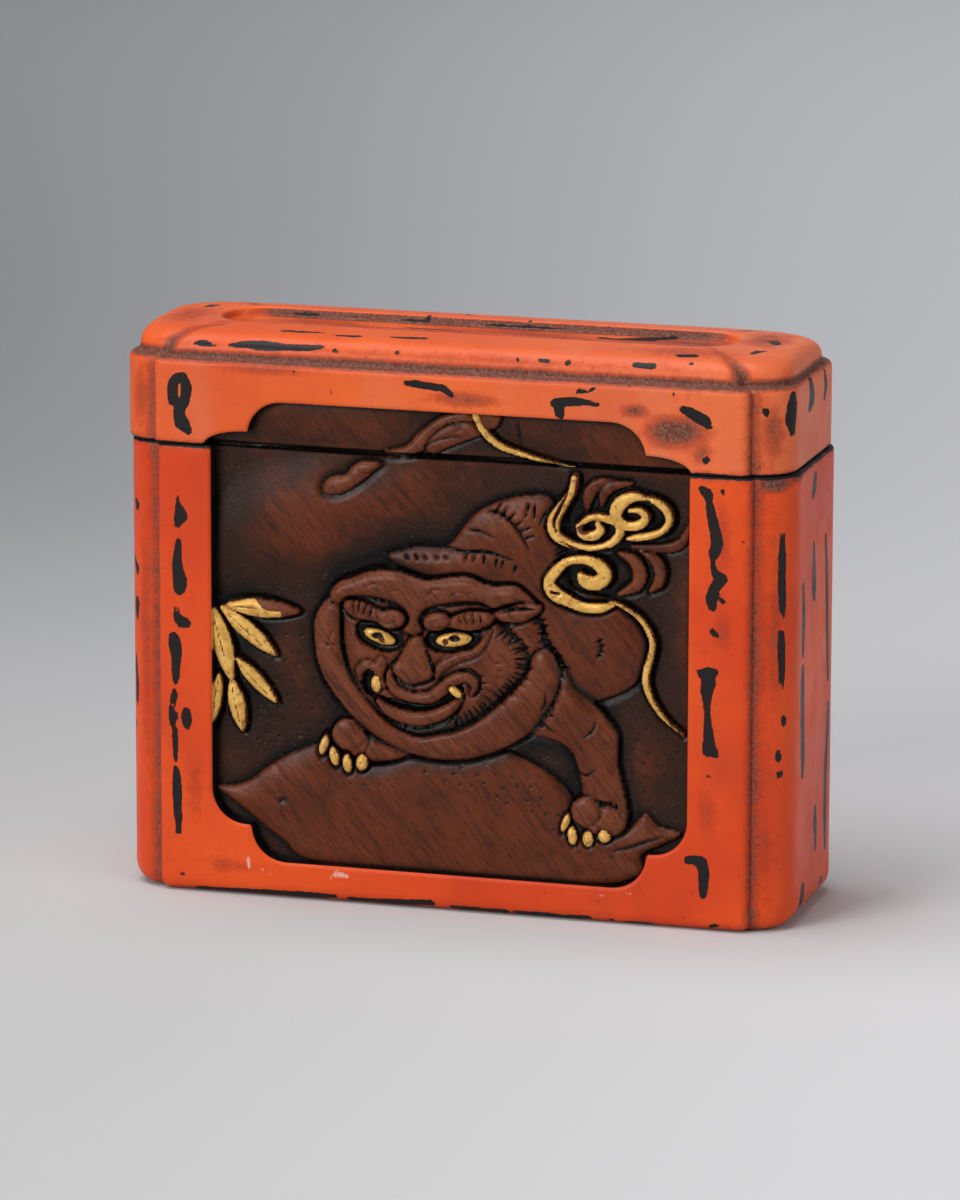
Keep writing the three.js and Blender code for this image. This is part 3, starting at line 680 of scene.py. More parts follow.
def carve_face(c):
    c.form([(-23.6, 57.6), (-23.9, 52), (-23.6, 47), (-22.2, 41.6), (-19.4, 37.2), (-16, 33.6),
            (-11.8, 30.6), (-7, 29), (-2.4, 29.9), (1.5, 31), (6.1, 33.6), (10.3, 37.3), (14, 40.9),
            (16.8, 44.2), (17.4, 47.6), (16.4, 50.8), (13.4, 53.2), (10.5, 55.6), (8, 61), (-10, 62),
            (-20, 61)], 0.74, 0.34, 5.0, cut=0.24, cut_width=0.9)
    c.swell((12.4, 46), (6.4, 8.4), -20, 0.12)
    c.swell((-19.6, 46.6), (4.6, 6), 0, 0.06)
    c.swell((-7.4, 55), (10, 5), 0, 0.06)
    # Mane on the right cheek and under the jaw
    c.hair([(11.4, 53.4), (14.4, 51), (15.7, 47.8), (15.3, 44.4), (13, 41.4), (9.8, 38.6)], (3.0, 1.5),
           1.15, 0.17)
    c.hair([(9.4, 38.2), (5.8, 35.4), (1.6, 33)], (2.4, 1.4), 1.25, 0.16)
    c.hair([(10.6, 47.6), (11.6, 44.6), (10.4, 41.8), (7.4, 38.9)], (1.3, 1.0), 1.9, 0.1)
    # Sockets
    c.oval((-15.5, 50.6), (5.6, 3.4), -16, 0.36, 0.3, 2, cut=0.02)
    c.oval((0.9, 51), (6.4, 3.3), 10, 0.36, 0.3, 2, cut=0.02)
    # Cheeks and the mouth between them
    c.form([(-20.9, 42.4), (-20, 44.4), (-18.2, 45.3), (-16.6, 44.9), (-15.6, 46.1), (-14.1, 45.6),
            (-13.8, 43.6), (-14.2, 41.4), (-13.4, 39.4), (-15.4, 38.6), (-17.4, 37.4), (-19.4, 39)],
           0.86, 0.5, 1.5, cut=0.14, cut_width=0.7)
    c.form([(-19.3, 41.6), (-18.2, 42.9), (-16.9, 42.7), (-16, 41.2), (-15.8, 39), (-16.6, 37.2),
            (-18.2, 37.4), (-19.4, 39.2)], 0.16, 0.1, 1, cut=0.0)
    c.strip([(-16.6, 37, 0.7), (-13.4, 36.1, 0.9), (-9, 35.5, 1.0), (-4, 35.6, 1.0), (-0.4, 37.6, 1.0),
             (2.4, 39.7, 0.9)], 0.42, 0.36, 1, cut=0.04)
    c.strip([(-2.8, 42.6, 0.9), (-1.5, 44.8, 1.2), (1.8, 46.8, 1.2), (5.6, 48.2, 1.0), (7.7, 50.4, 0.8),
             (9, 53, 0.5)], 0.88, 0.56, 1.2, cut=0.1, cut_width=0.8)
    c.strip([(-12.6, 43.5, 0.7), (-13.1, 41.4, 1.0), (-12, 39, 1.2), (-9.5, 37.8, 1.2), (-7.3, 37.5, 1.25),
             (-4.1, 37.8, 1.45), (-1.7, 39.5, 1.5), (0.8, 41.7, 1.5), (3.4, 42.8, 1.3), (5.3, 42, 1.1),
             (5.8, 40.4, 0.8), (5, 39.2, 0.5)],
            0.96, 0.55, 1.3, cut=0.16, cut_width=0.8)
    c.groove([(2.5, 44.1, 0.3), (4.9, 44.4, 0.5), (6.9, 42.8, 0.5), (6.7, 40.4, 0.4), (5.6, 38.8, 0.3)], 0.14)
    c.hair([(7, 43.6), (7.8, 41.6), (7, 39.4)], (1.6, 0.3), 1.5, 0.12)
    c.strip([(-15.8, 36.2, 0.6), (-13.3, 34.2, 1.3), (-10, 33.1, 1.6), (-6.2, 32.9, 1.7), (-2.5, 34, 1.6),
             (0.6, 35.9, 1.3), (2.6, 38, 0.7)],
            0.92, 0.5, 1.5, cut=0.2, cut_width=0.9)
    c.groove([(-15.6, 33.8, 0.3), (-10.8, 31.2, 0.7), (-6.2, 30.8, 0.8), (-0.8, 32.3, 0.8),
              (2.9, 36.2, 0.4)], 0.14)
    c.groove([(-9.6, 31.6, 0.3), (-9.4, 30.4, 0.3)], 0.1)
    c.oval((-16.2, 39.9), (1.25, 2.1), 6, 0.92, 0.46, 1.1, cut=0.1, cut_width=0.6, gilded=True)
    c.oval((1.6, 39.4), (1.85, 1.1), -38, 0.98, 0.5, 1.0, cut=0.16, cut_width=0.6, gilded=True)
    # Eyes: gilded, with a cut round each, a dark pupil and a small spot of bare wood
    eyes = (
        ((-15.6, 50.2), (3.8, 1.6), -17, (-15.9, 50.5), (-14.95, 49.65)),
        ((0.9, 50.6), (4.2, 1.68), 8, (1.3, 51), (-0.8, 50.1)),
    )
    for middle, reach, tilt, pupil, spot in eyes:
        c.oval(middle, reach, tilt, 0.68, 0.4, 1.6, cut=0.1, cut_width=0.7, gilded=True)
        some, inside = c.pierce(pupil, (1.25, 0.72), 2, 0.08)
        c.dark[some] = np.clip(inside * 4, 0, 1)
        c.pierce(spot, (0.62, 0.62), 1.4, 0.06)
    # Nose
    c.form([(-8.1, 51.6), (-6.3, 51.4), (-5, 47.6), (-3.7, 44.2), (-3.3, 42.8), (-4.2, 41.6), (-6.2, 40.8),
            (-9, 40.2), (-10.8, 41.2), (-12.3, 42.6), (-12.6, 44.2), (-11.2, 46), (-9.6, 49)],
           0.99, 0.52, 2.3, cut=0.22, cut_width=0.9)
    c.groove([(-8.9, 47.6, 0.5), (-10.4, 45, 0.9), (-10.9, 43, 0.5)], 0.1)
    c.groove([(-5.6, 46.6, 0.4), (-4.9, 44.2, 0.7), (-5.2, 42.8, 0.4)], 0.08)
    c.swell((-8.4, 44), (4, 5), 0, 0.04)
    # Cap over the brow, with the prong that runs down between the eyes
    c.form([(-26.6, 57.6), (-26.2, 60), (-24.1, 61.9), (-21.4, 62.9), (-18.1, 64.3), (-14.3, 64.9),
            (-10.6, 64.8), (-8.1, 64.1), (-5.2, 63.5), (-2.2, 63.9), (1, 64.6), (4.5, 64.7), (7.1, 63.7),
            (10, 63.1), (14.5, 63.4), (17, 61.9), (19.6, 59.4), (17.3, 59.6), (13.1, 59), (10.1, 57.9),
            (8.3, 58.6), (6, 59.2), (0.4, 58.5), (-3.6, 57.5), (-5.5, 56.4), (-6.5, 54.4), (-5.8, 52.3),
            (-7.9, 51), (-10.3, 52.1), (-9.2, 54.2), (-9.7, 56), (-10.6, 57), (-13, 58), (-17.1, 58.7),
            (-21.9, 58.5), (-24.2, 57)], 0.98, 0.5, 2.6, cut=0.22, cut_width=1.0)
    c.crease([(-18.6, 61), (-16.8, 62), (-14.9, 61.8)], 0.4, 0.1)
    c.crease([(-13, 60.6), (-11, 60.8), (-9.4, 59.6)], 0.4, 0.1)
    c.crease([(-4.6, 59.9), (-3.2, 61.6), (-0.6, 61.4)], 0.5, 0.12)
    c.crease([(0.4, 60.2), (2.6, 61.4), (6, 61.2)], 0.45, 0.1)
    c.hair([(-4.4, 60.4), (2.6, 60.6), (8.6, 60)], (1.1, 0.3), 1.7, 0.08)
    # Ear
    c.form([(9.6, 57.2), (13.1, 58.6), (16.4, 59.8), (19.9, 59.6), (20.5, 58.6), (18.9, 56.9), (16, 55.4),
            (12.6, 55.2), (10.2, 56)], 0.94, 0.5, 1.4, cut=0.18, cut_width=0.9)
    c.crease([(11, 57.2), (14, 58.2), (17, 58.6), (19.4, 58.5)], 0.6, 0.3)
    # Brows, each a ribbed wing with a curl at its inner end
    c.form([(-23.6, 56.3), (-22.9, 57.9), (-20.6, 58.2), (-18.1, 57.6), (-16, 56.6), (-14.4, 56.3),
            (-12.5, 56.7), (-10.4, 56.1), (-9.4, 54.7), (-10.3, 53), (-12.5, 52.1), (-14.4, 52.3),
            (-16.5, 53.5), (-19.2, 53.7), (-21.9, 54.5)], 1.0, 0.5, 1.7, cut=0.24, cut_width=0.9)
    c.groove([(-15.9, 55.9, 0.3), (-15.5, 54.4, 0.5), (-14.3, 53.5, 0.5), (-12.4, 53.6, 0.45),
              (-11.5, 54.6, 0.4), (-12.3, 55.4, 0.35), (-13.4, 55.1, 0.3)], 0.18)
    c.hair([(-22, 56.8), (-19, 56.2), (-16.4, 55.2)], (1.5, 1.7), 1.5, 0.24, lean=12, half=0.44)
    c.form([(-5.8, 54.1), (-5.2, 55.7), (-3, 56.6), (-1, 56.5), (0.4, 55.9), (1.8, 56.4), (4.6, 57.3),
            (7.4, 57.4), (9.2, 57.1), (10.4, 56.1), (8.9, 54.4), (6.6, 53.2), (4.3, 52.8), (1.8, 53),
            (-0.2, 53.2), (-2.5, 52.3), (-5, 52.5)], 1.0, 0.5, 1.7, cut=0.24, cut_width=0.9)
    c.groove([(0.1, 56.1, 0.4), (0.6, 54.8, 0.5), (-0.4, 53.6, 0.45), (-2.4, 53.2, 0.4)], 0.2)
    c.hair([(1.6, 54.9), (5, 55.3), (8.6, 55.6)], (1.6, 1.6), 1.6, 0.24, lean=12, half=0.44)


def carve_clouds(c):
    c.swell((38, 78), (20, 13), 0, -0.05)
    for places in ([(29.1, 80.6, 0.3), (29.3, 83.3, 0.7), (30.8, 85.6, 0.7), (34, 87, 0.3)],
                   [(32.3, 81.8, 0.3), (32.8, 84, 0.6), (34.8, 85.8, 0.6), (38.4, 86.6, 0.3)]):
        c.strip([(u + 0.9, v, w * 1.9) for u, v, w in places], 0.34, 0.2, 1.1, cut=0.08)
    for places in ([(37.2, 71.6, 0.6), (40.3, 70.2, 1.4), (41.6, 67.4, 1.6), (40.8, 64.8, 1.4),
                    (37.2, 62.7, 0.6)], [(41.7, 72.4, 0.5), (44.6, 70.9, 1.2), (46, 68.3, 1.4),
                                         (45.7, 65.8, 1.2), (44, 63.9, 0.5)]):
        c.strip(places, 0.5, 0.22, 1.5, cut=0.16, cut_width=1.1)
    c.strip([(53, 79, 0.8), (50.6, 74.6, 1.2), (46.7, 73.2, 1.1), (40, 73.2, 0.6)], 0.36, 0.2, 1.2, cut=0.05)
    strips = (
        [(42.8, 84, 0.5), (45.4, 83.2, 0.9), (47.6, 81.5, 1.15), (48.2, 79.3, 1.0), (46.7, 77.1, 1.0),
         (43.9, 75.9, 1.05), (41.2, 75.4, 1.0), (39, 75, 0.5)],
        [(27.4, 87.4, 0.9), (26.8, 84.2, 1.0), (24.6, 80.9, 1.35), (22.9, 77.4, 1.7), (23.7, 74.6, 1.4),
         (27, 73, 1.1), (31.4, 72.5, 1.0), (35.2, 73.6, 1.1), (37.4, 75.9, 1.25), (36.9, 78, 1.25),
         (34.5, 79, 1.1), (31.4, 79.1, 1.0), (29.4, 78, 0.9)],
        [(28.6, 77, 1.0), (29.4, 75.4, 1.3), (31.6, 75.2, 1.4), (33.2, 76.4, 1.2), (32.6, 77.8, 0.8)],
        [(43.1, 83.8, 0.6), (40.3, 84, 1.3), (37.8, 82.7, 1.8), (36.6, 80.6, 1.7), (37.5, 78.3, 1.4),
         (39.9, 77.7, 1.3), (42.3, 78.5, 1.3), (43, 80.1, 1.1), (41.6, 81.2, 0.9), (39.6, 81.1, 0.7)],
        [(28.9, 66.6, 0.9), (30, 65.3, 1.8), (32.4, 65, 1.9), (34.2, 66.6, 1.8), (33, 68.8, 1.6),
         (29.9, 69.9, 1.25), (26.1, 69.3, 1.2), (23.5, 67, 1.4), (22, 64.4, 1.5), (23.2, 62.2, 1.9),
         (25.9, 60.9, 1.6), (29.4, 59.6, 1.35), (33, 59.6, 1.35), (35.9, 60.4, 0.7)],
    )
    for places in strips:
        c.strip([(u, v, w * 0.88) for u, v, w in places], 0.78, 0.48, 0.9, cut=0.2, cut_width=0.9,
                gilded=True)
    c.strip([(35.4, 60.9, 0.5), (37.2, 60.5, 0.45), (39.3, 59.4, 0.5), (41.8, 57.7, 0.6), (43.5, 55.4, 0.7),
             (44.6, 52.6, 0.75), (44.2, 49.6, 0.8), (43.4, 46.6, 0.9), (43.2, 43.8, 0.85), (44.1, 41, 0.75),
             (45.8, 38.1, 0.6), (48.2, 35.6, 0.45), (51.6, 33, 0.3)],
            0.62, 0.34, 1.0, cut=0.14, cut_width=1.1, gilded=True)
    c.strip([(6.1, 99.6, 0.8), (7.5, 96.8, 0.85), (9.3, 94.7, 0.85), (11.8, 93, 0.8), (15, 92, 0.7),
             (18.1, 91.2, 0.6), (22.3, 90.2, 0.5), (27.2, 89.5, 0.35)],
            0.56, 0.34, 0.9, cut=0.12, cut_width=1.0, gilded=True)
    slits = (
        [(26.1, 84, 0.2), (24.4, 80.6, 0.4), (23.2, 77.8, 0.35), (23.7, 75.6, 0.2)],
        [(24.6, 73.7, 0.2), (28.4, 72.1, 0.3), (31.6, 71.7, 0.3), (35, 72.8, 0.2)],
        [(25.1, 66.8, 0.25), (27.6, 68.3, 0.38), (29.9, 67.9, 0.4), (31.6, 67, 0.4)],
        [(28.8, 76.8, 0.5), (29.6, 76.4, 0.95), (30.4, 76, 0.5)],
        [(38.2, 79.9, 0.4), (39.6, 79.7, 0.8), (41.2, 79.8, 0.35)],
        [(22.6, 62.6, 0.3), (24.4, 62.2, 0.3)],
    )
    for places in slits:
        c.groove(places, 0.3)
        line = smooth_line(places)
        some = c.near(line, 1.5)
        inside = strip_inside(c.u[some], c.v[some], line)
        c.gilt[some] = np.minimum(c.gilt[some], 0.12 - 1.4 * inside)


def carve_bamboo(c):
    leaves = (
        ((-51.8, 39.4), (-53.4, 28.3), 1.5),
        ((-49, 38.2), (-46.5, 27), 1.9),
        ((-47.8, 43), (-38.6, 33.8), 1.6),
        ((-51, 54.2), (-38.7, 44.2), 2.0),
        ((-53, 53.6), (-48.8, 37.7), 2.3),
        ((-49.6, 54.9), (-33.6, 54.2), 2.1),
    )
    for stem, tip, half in leaves:
        c.leaf(stem, tip, half, 0.72, 0.36)
    # The gilding is gone from the first leaf's upper half and the second one's tip
    some = c.near([(-44, 55.6), (-34, 55)], 2.4)
    c.gilt[some] = np.minimum(c.gilt[some], 54.9 - c.v[some] + np.clip(-41.5 - c.u[some], 0, 3))
    some = c.near([(-36.6, 53), (-32, 55)], 1.2)
    c.gilt[some] = np.minimum(c.gilt[some], -37.4 - c.u[some])


def blurred(table, reach):
    """A table smoothed over a square of that reach, by running sums."""
    for axis in (0, 1):
        pad = [(0, 0), (0, 0)]
        pad[axis] = (reach + 1, reach)
        sums = np.cumsum(np.pad(table, pad, mode="edge"), axis=axis)
        count = table.shape[axis]
        high = np.take(sums, np.arange(2 * reach + 1, 2 * reach + 1 + count), axis=axis)
        low = np.take(sums, np.arange(count), axis=axis)
        table = (high - low) / (2 * reach + 1)
    return table


# Patches of painted shade on the panel, such as under the jaw: middle, reach, tilt and how dark
painted_shade_patches = (
    ((19, 33), (11, 7), -20, 0.3),
    ((32, 27), (7, 15), 0, 0.26),
    ((-47, 66), (10, 24), 0, 0.3),
    ((-15, 67), (20, 8), 28, 0.42),
    ((44, 60), (7, 16), 0, 0.16),
    ((-38, 30), (16, 11), 20, 0.22),
    ((-3, 31), (20, 5), 5, 0.2),
    ((28, 66), (6, 12), 0, 0.25),
)
highest = 0.97
lowest = -0.2
seam_drop = 0.34


def fading(distance, reach, start=1.0):
    """From start, falling by 1 over each reach of distance, and kept between 0 and 1."""
    return np.clip(start - distance / reach, 0, 1)


def carved_panel():
    """Tables of the relief's height, its gilding and how sunk each place is among its neighbours, which sets
    the wood's painted shade.
    """
    c = Carving()
    carve_landscape(c)
    carve_tail(c)
    carve_body(c)
    carve_left_paw(c)
    carve_collar(c)
    carve_face(c)
    carve_clouds(c)
    carve_bamboo(c)
    carve_claws(c)
    for shade_patch in painted_shade_patches:
        c.shade_patch(*shade_patch)
    c.height = np.clip(c.height, 0.0, highest)
    c.height -= seam_drop * fading(np.abs(c.v - seam_row), 0.5, 1.3)
    c.height = np.maximum(c.height, lowest)
    shape = (grid_rows + 1, grid_columns + 1)
    height, gilt = c.height.reshape(shape), c.gilt.reshape(shape)
    # Painted shade: places below their blurred surroundings, near and wide, go dark, as do the cuts, the
    # shade patches and the pupils in the dark table
    near_by = blurred(blurred(height, 2), 2) - height
    wide = blurred(blurred(height, 9), 9) - height
    return {"height": height, "gilt": gilt, "sunk": near_by * 2.4 + wide * 3.1 + c.dark.reshape(shape)}


def read_off(table, x, z):
    """A table's value at places on the panel, between its points."""
    column = np.clip((x - panel_offset + grid_width / 2) / grid_width * grid_columns, 0, grid_columns - 1e-6)
    row = np.clip((z - carving_foot + grid_margin) / grid_height * grid_rows, 0, grid_rows - 1e-6)
    left, low = column.astype(int), row.astype(int)
    right_share, up_share = column - left, row - low
    bottom = table[low, left] * (1 - right_share) + table[low, left + 1] * right_share
    top = table[low + 1, left] * (1 - right_share) + table[low + 1, left + 1] * right_share
    return bottom * (1 - up_share) + top * up_share


relief = carved_panel()


def opening(name, face, floor, outward):
    """The panel's opening, from its floor out past the face, with a rounded lip."""
    rings = [panel_ring(0, floor)]
    for inset, rise in quarter_round(panel_lip, panel_lip, lip_steps):
        rings.append(panel_ring(-inset, face + outward * (rise - panel_lip)))
    rings.append(panel_ring(-panel_lip, face + outward * 2))
    return sleeve(name, rings)


def panel_tool(name, face, outward, depths):
    """What is cut out of the front or the back: a panel of these depths, within its opening."""
    rows, columns = depths.shape
    piece, column, row = new_grid(name, columns + 1, rows + 1)
    on_column = np.clip(column - 1, 0, columns - 1)
    on_row = np.clip(row - 1, 0, rows - 1)
    x = (on_column / (columns - 1) - 0.5) * grid_width + panel_offset
    z = on_row / (rows - 1) * grid_height - grid_margin + carving_foot
    y = face - outward * depths[on_row, on_column]
    border = (column == 0) | (column == columns + 1) | (row == 0) | (row == rows + 1)
    lay(piece, np.column_stack((x, np.where(border, face + outward * spare, y), z)))
    close_up()
    floor = face - outward * (depths.max() + 1)
    combine(piece, opening(name + " opening", face, floor, outward), "INTERSECT")
    return piece


def case_rings():
    riser_hole = grown(cavity, -riser_wall)
    rings = [plain_ring(riser_hole, z) for z in (floor_thickness, seam_height / 2, riser_top - riser_edge)]
    rings.append(plain_ring(grown(riser_hole, riser_edge), riser_top))
    rings.append(plain_ring(grown(cavity, -riser_edge), riser_top))
    rings += [plain_ring(cavity, z) for z in (riser_top - riser_edge, seam_height)]
    for inset, rise in reversed(quarter_round(seam_rounding, seam_rounding, seam_edge_steps)):
        rings.append(box_ring(inset, seam_height - seam_rounding + rise))
    for z in np.linspace(seam_height - seam_rounding, end_foot_rounding, wall_rings + 2)[1:-1]:
        rings.append(box_ring(0, z))
    for angle in np.linspace(0, math.pi / 2, foot_rings):
        rings.append(foot_ring(max(end_foot_rounding * (1 - math.sin(angle)), 0)))
    rings.append(box_ring(foot_rounding + 2.5, 0))
    return rings


def lid_rings():
    ceiling = box_height - field_depth - lid_top_thickness
    rings = [plain_ring(grown(cavity, lid_room), z) for z in (ceiling, seam_height)]
    for inset, rise in reversed(quarter_round(seam_rounding, seam_rounding, seam_edge_steps)):
        rings.append(box_ring(inset, seam_height + seam_rounding - rise))
    for z in np.linspace(seam_height + seam_rounding, skirt_top - skirt_rounding, skirt_rings + 2)[1:-1]:
        rings.append(box_ring(0, z))
    for inset, rise in quarter_round(skirt_rounding, skirt_rounding, skirt_edge_steps):
        rings.append(box_ring(inset, skirt_top - skirt_rounding + rise))
    for inset, end_inset, rise in ledge_profile:
        rings.append(dome_ring(inset, end_inset, 0, skirt_top + rise))
    for angle in np.linspace(0, math.pi / 2, dome_rings):
        inward = 1 - max(math.cos(angle), 0) ** dome_fullness
        z = skirt_top + dome_foot + dome_rise * math.sin(angle) ** dome_fullness
        inset = dome_setback + dome_rounding * inward
        rings.append(dome_ring(inset, dome_end_setback + dome_end_rounding * inward, 1 - math.cos(angle), z))
    rim = plain_ring(grown(field, field_lip), box_height)
    crest = rings[-1]
    for share in (0.3, 0.65):
        ring = crest + (rim - crest) * share
        ring[:, 2] = box_height - dome_crown * (1 - share) ** 2
        rings.append(ring)
    rings.append(rim)
    for inset, drop in field_wall_profile:
        rings.append(plain_ring(grown(field, -inset), box_height - drop))
    for inset in field_floor_insets:
        rings.append(plain_ring(grown(field, -inset), box_height - field_depth))
    return rings


def shift_across(piece, distance):
    for vertex in piece.data.vertices:
        vertex.co.x += distance * mm


# Wear: chips through the lacquer, as chains of places on the front with a half width at each
# The front's places are across and up, the others across, back and up
front_chips = (
    [(-37, 53.2, 0.14), (-37, 52.2, 0.23), (-36.6, 51.4, 0.55), (-36.5, 50.5, 0.83), (-37, 49.3, 0.37)],
    [(-36.8, 47.3, 0.23), (-36.9, 46.4, 0.37), (-37, 44.7, 0.55), (-37, 43.3, 0.65), (-36.6, 42, 0.83),
     (-36.7, 40.9, 0.74), (-37.1, 40.2, 0.28)],
    [(-35.3, 44.6, 0.18)],
    [(-34, 42.9, 0.18)],
    [(-37.1, 38.4, 0.23), (-37.2, 37.1, 0.37), (-36.7, 36.4, 0.65), (-35.9, 36.3, 0.6)],
    [(-37.5, 34.3, 0.65), (-37.4, 33.2, 0.79), (-37.2, 31.7, 0.65), (-37.3, 29.9, 0.46), (-37.3, 28.1, 0.28)],
    [(-37.6, 27.2, 0.23), (-37.6, 26.3, 0.42), (-37.7, 25.4, 0.32)],
    [(-37.9, 24.7, 0.33), (-37.8, 23.5, 0.42), (-37.8, 22.6, 0.28)],
    [(-35.9, 24.7, 0.28), (-35.9, 23.7, 0.65), (-35.9, 22.8, 0.56), (-35.8, 22.1, 0.23)],
    [(-37.5, 21.8, 0.28), (-37.5, 20.4, 0.28), (-37.4, 19.1, 0.23), (-37.4, 17.9, 0.19)],
    [(-37.4, 16.6, 0.28), (-37.3, 15, 0.51), (-37.2, 13.2, 0.56), (-37.2, 11.4, 0.51), (-37.1, 9.6, 0.37),
     (-37.1, 8, 0.28)],
    [(-36.5, 2.3, 0.28)],
    [(-37.7, 3.5, 0.14)],
    [(-36, 57.8, 0.14)],
    [(-37.5, 65.7, 0.5), (-37.5, 67.5, 0.62), (-37.3, 68.6, 0.5), (-36.1, 69, 0.62), (-35.5, 67.7, 0.62),
     (-35.9, 65.8, 0.56), (-36.7, 64.4, 0.63), (-36.3, 63.1, 0.94), (-35.3, 61.8, 0.37)],
    [(-6.2, 69.9, 0.24), (-4.7, 69.9, 0.36), (-2.2, 69.7, 0.42), (-0.7, 69.5, 0.36), (0.4, 68.7, 0.3)],
    [(-21, 70.5, 0.2)],
    [(-16, 68.2, 0.24)],
    [(19.3, 70.6, 0.24)],
    [(17.2, 70.3, 0.18), (18.4, 70.2, 0.18)],
    [(29.8, 70.4, 0.18)],
    [(14.2, 68.4, 0.53), (16, 68.8, 0.53), (18.4, 68.8, 0.3), (19.9, 68.6, 0.18)],
    [(14.7, 68.4, 0.61), (14.8, 67.2, 0.54), (14.9, 66.5, 0.24)],
    [(31, 68.7, 0.35), (32.3, 68.1, 0.65), (34, 67.3, 0.71), (34.6, 66.5, 0.35)],
    [(34.2, 62.2, 0.42)],
    [(33.7, 58.4, 0.41), (34.5, 57.8, 0.61), (34.7, 56.8, 0.3), (35, 55.1, 0.51), (35.5, 53.1, 0.66),
     (35.8, 51.4, 0.76), (35.4, 50.1, 0.66), (35.2, 49.1, 0.2)],
    [(35.2, 48.5, 0.25), (35.7, 47.3, 0.51), (36.6, 46.9, 0.61), (35.5, 45.6, 0.61), (35.1, 44.3, 0.71),
     (35.2, 43, 0.46)],
    [(36.7, 43.9, 0.31)],
    [(36.4, 58.2, 0.35)],
    [(35.3, 39.8, 0.36), (35.8, 39.4, 0.36)],
    [(33.7, 34.4, 0.41), (34.8, 34.3, 0.6), (35.6, 34.5, 0.46)],
    [(34.8, 34.3, 0.82), (34.8, 33.1, 0.92), (34.6, 31.8, 0.72), (34.6, 29.8, 0.36), (34.8, 27.8, 0.36),
     (34.9, 25.8, 0.61), (35, 24.2, 0.87), (35.8, 23.7, 0.41)],
    [(35, 20.8, 0.31)],
    [(34.5, 18.9, 0.15)],
    [(32.2, 9.4, 0.41), (33.4, 9.6, 0.46), (34.1, 9.4, 0.62), (34.4, 7.9, 0.62), (34.4, 6.3, 0.57),
     (34.3, 4.8, 0.36)],
    [(31.8, 1.8, 0.17)],
)
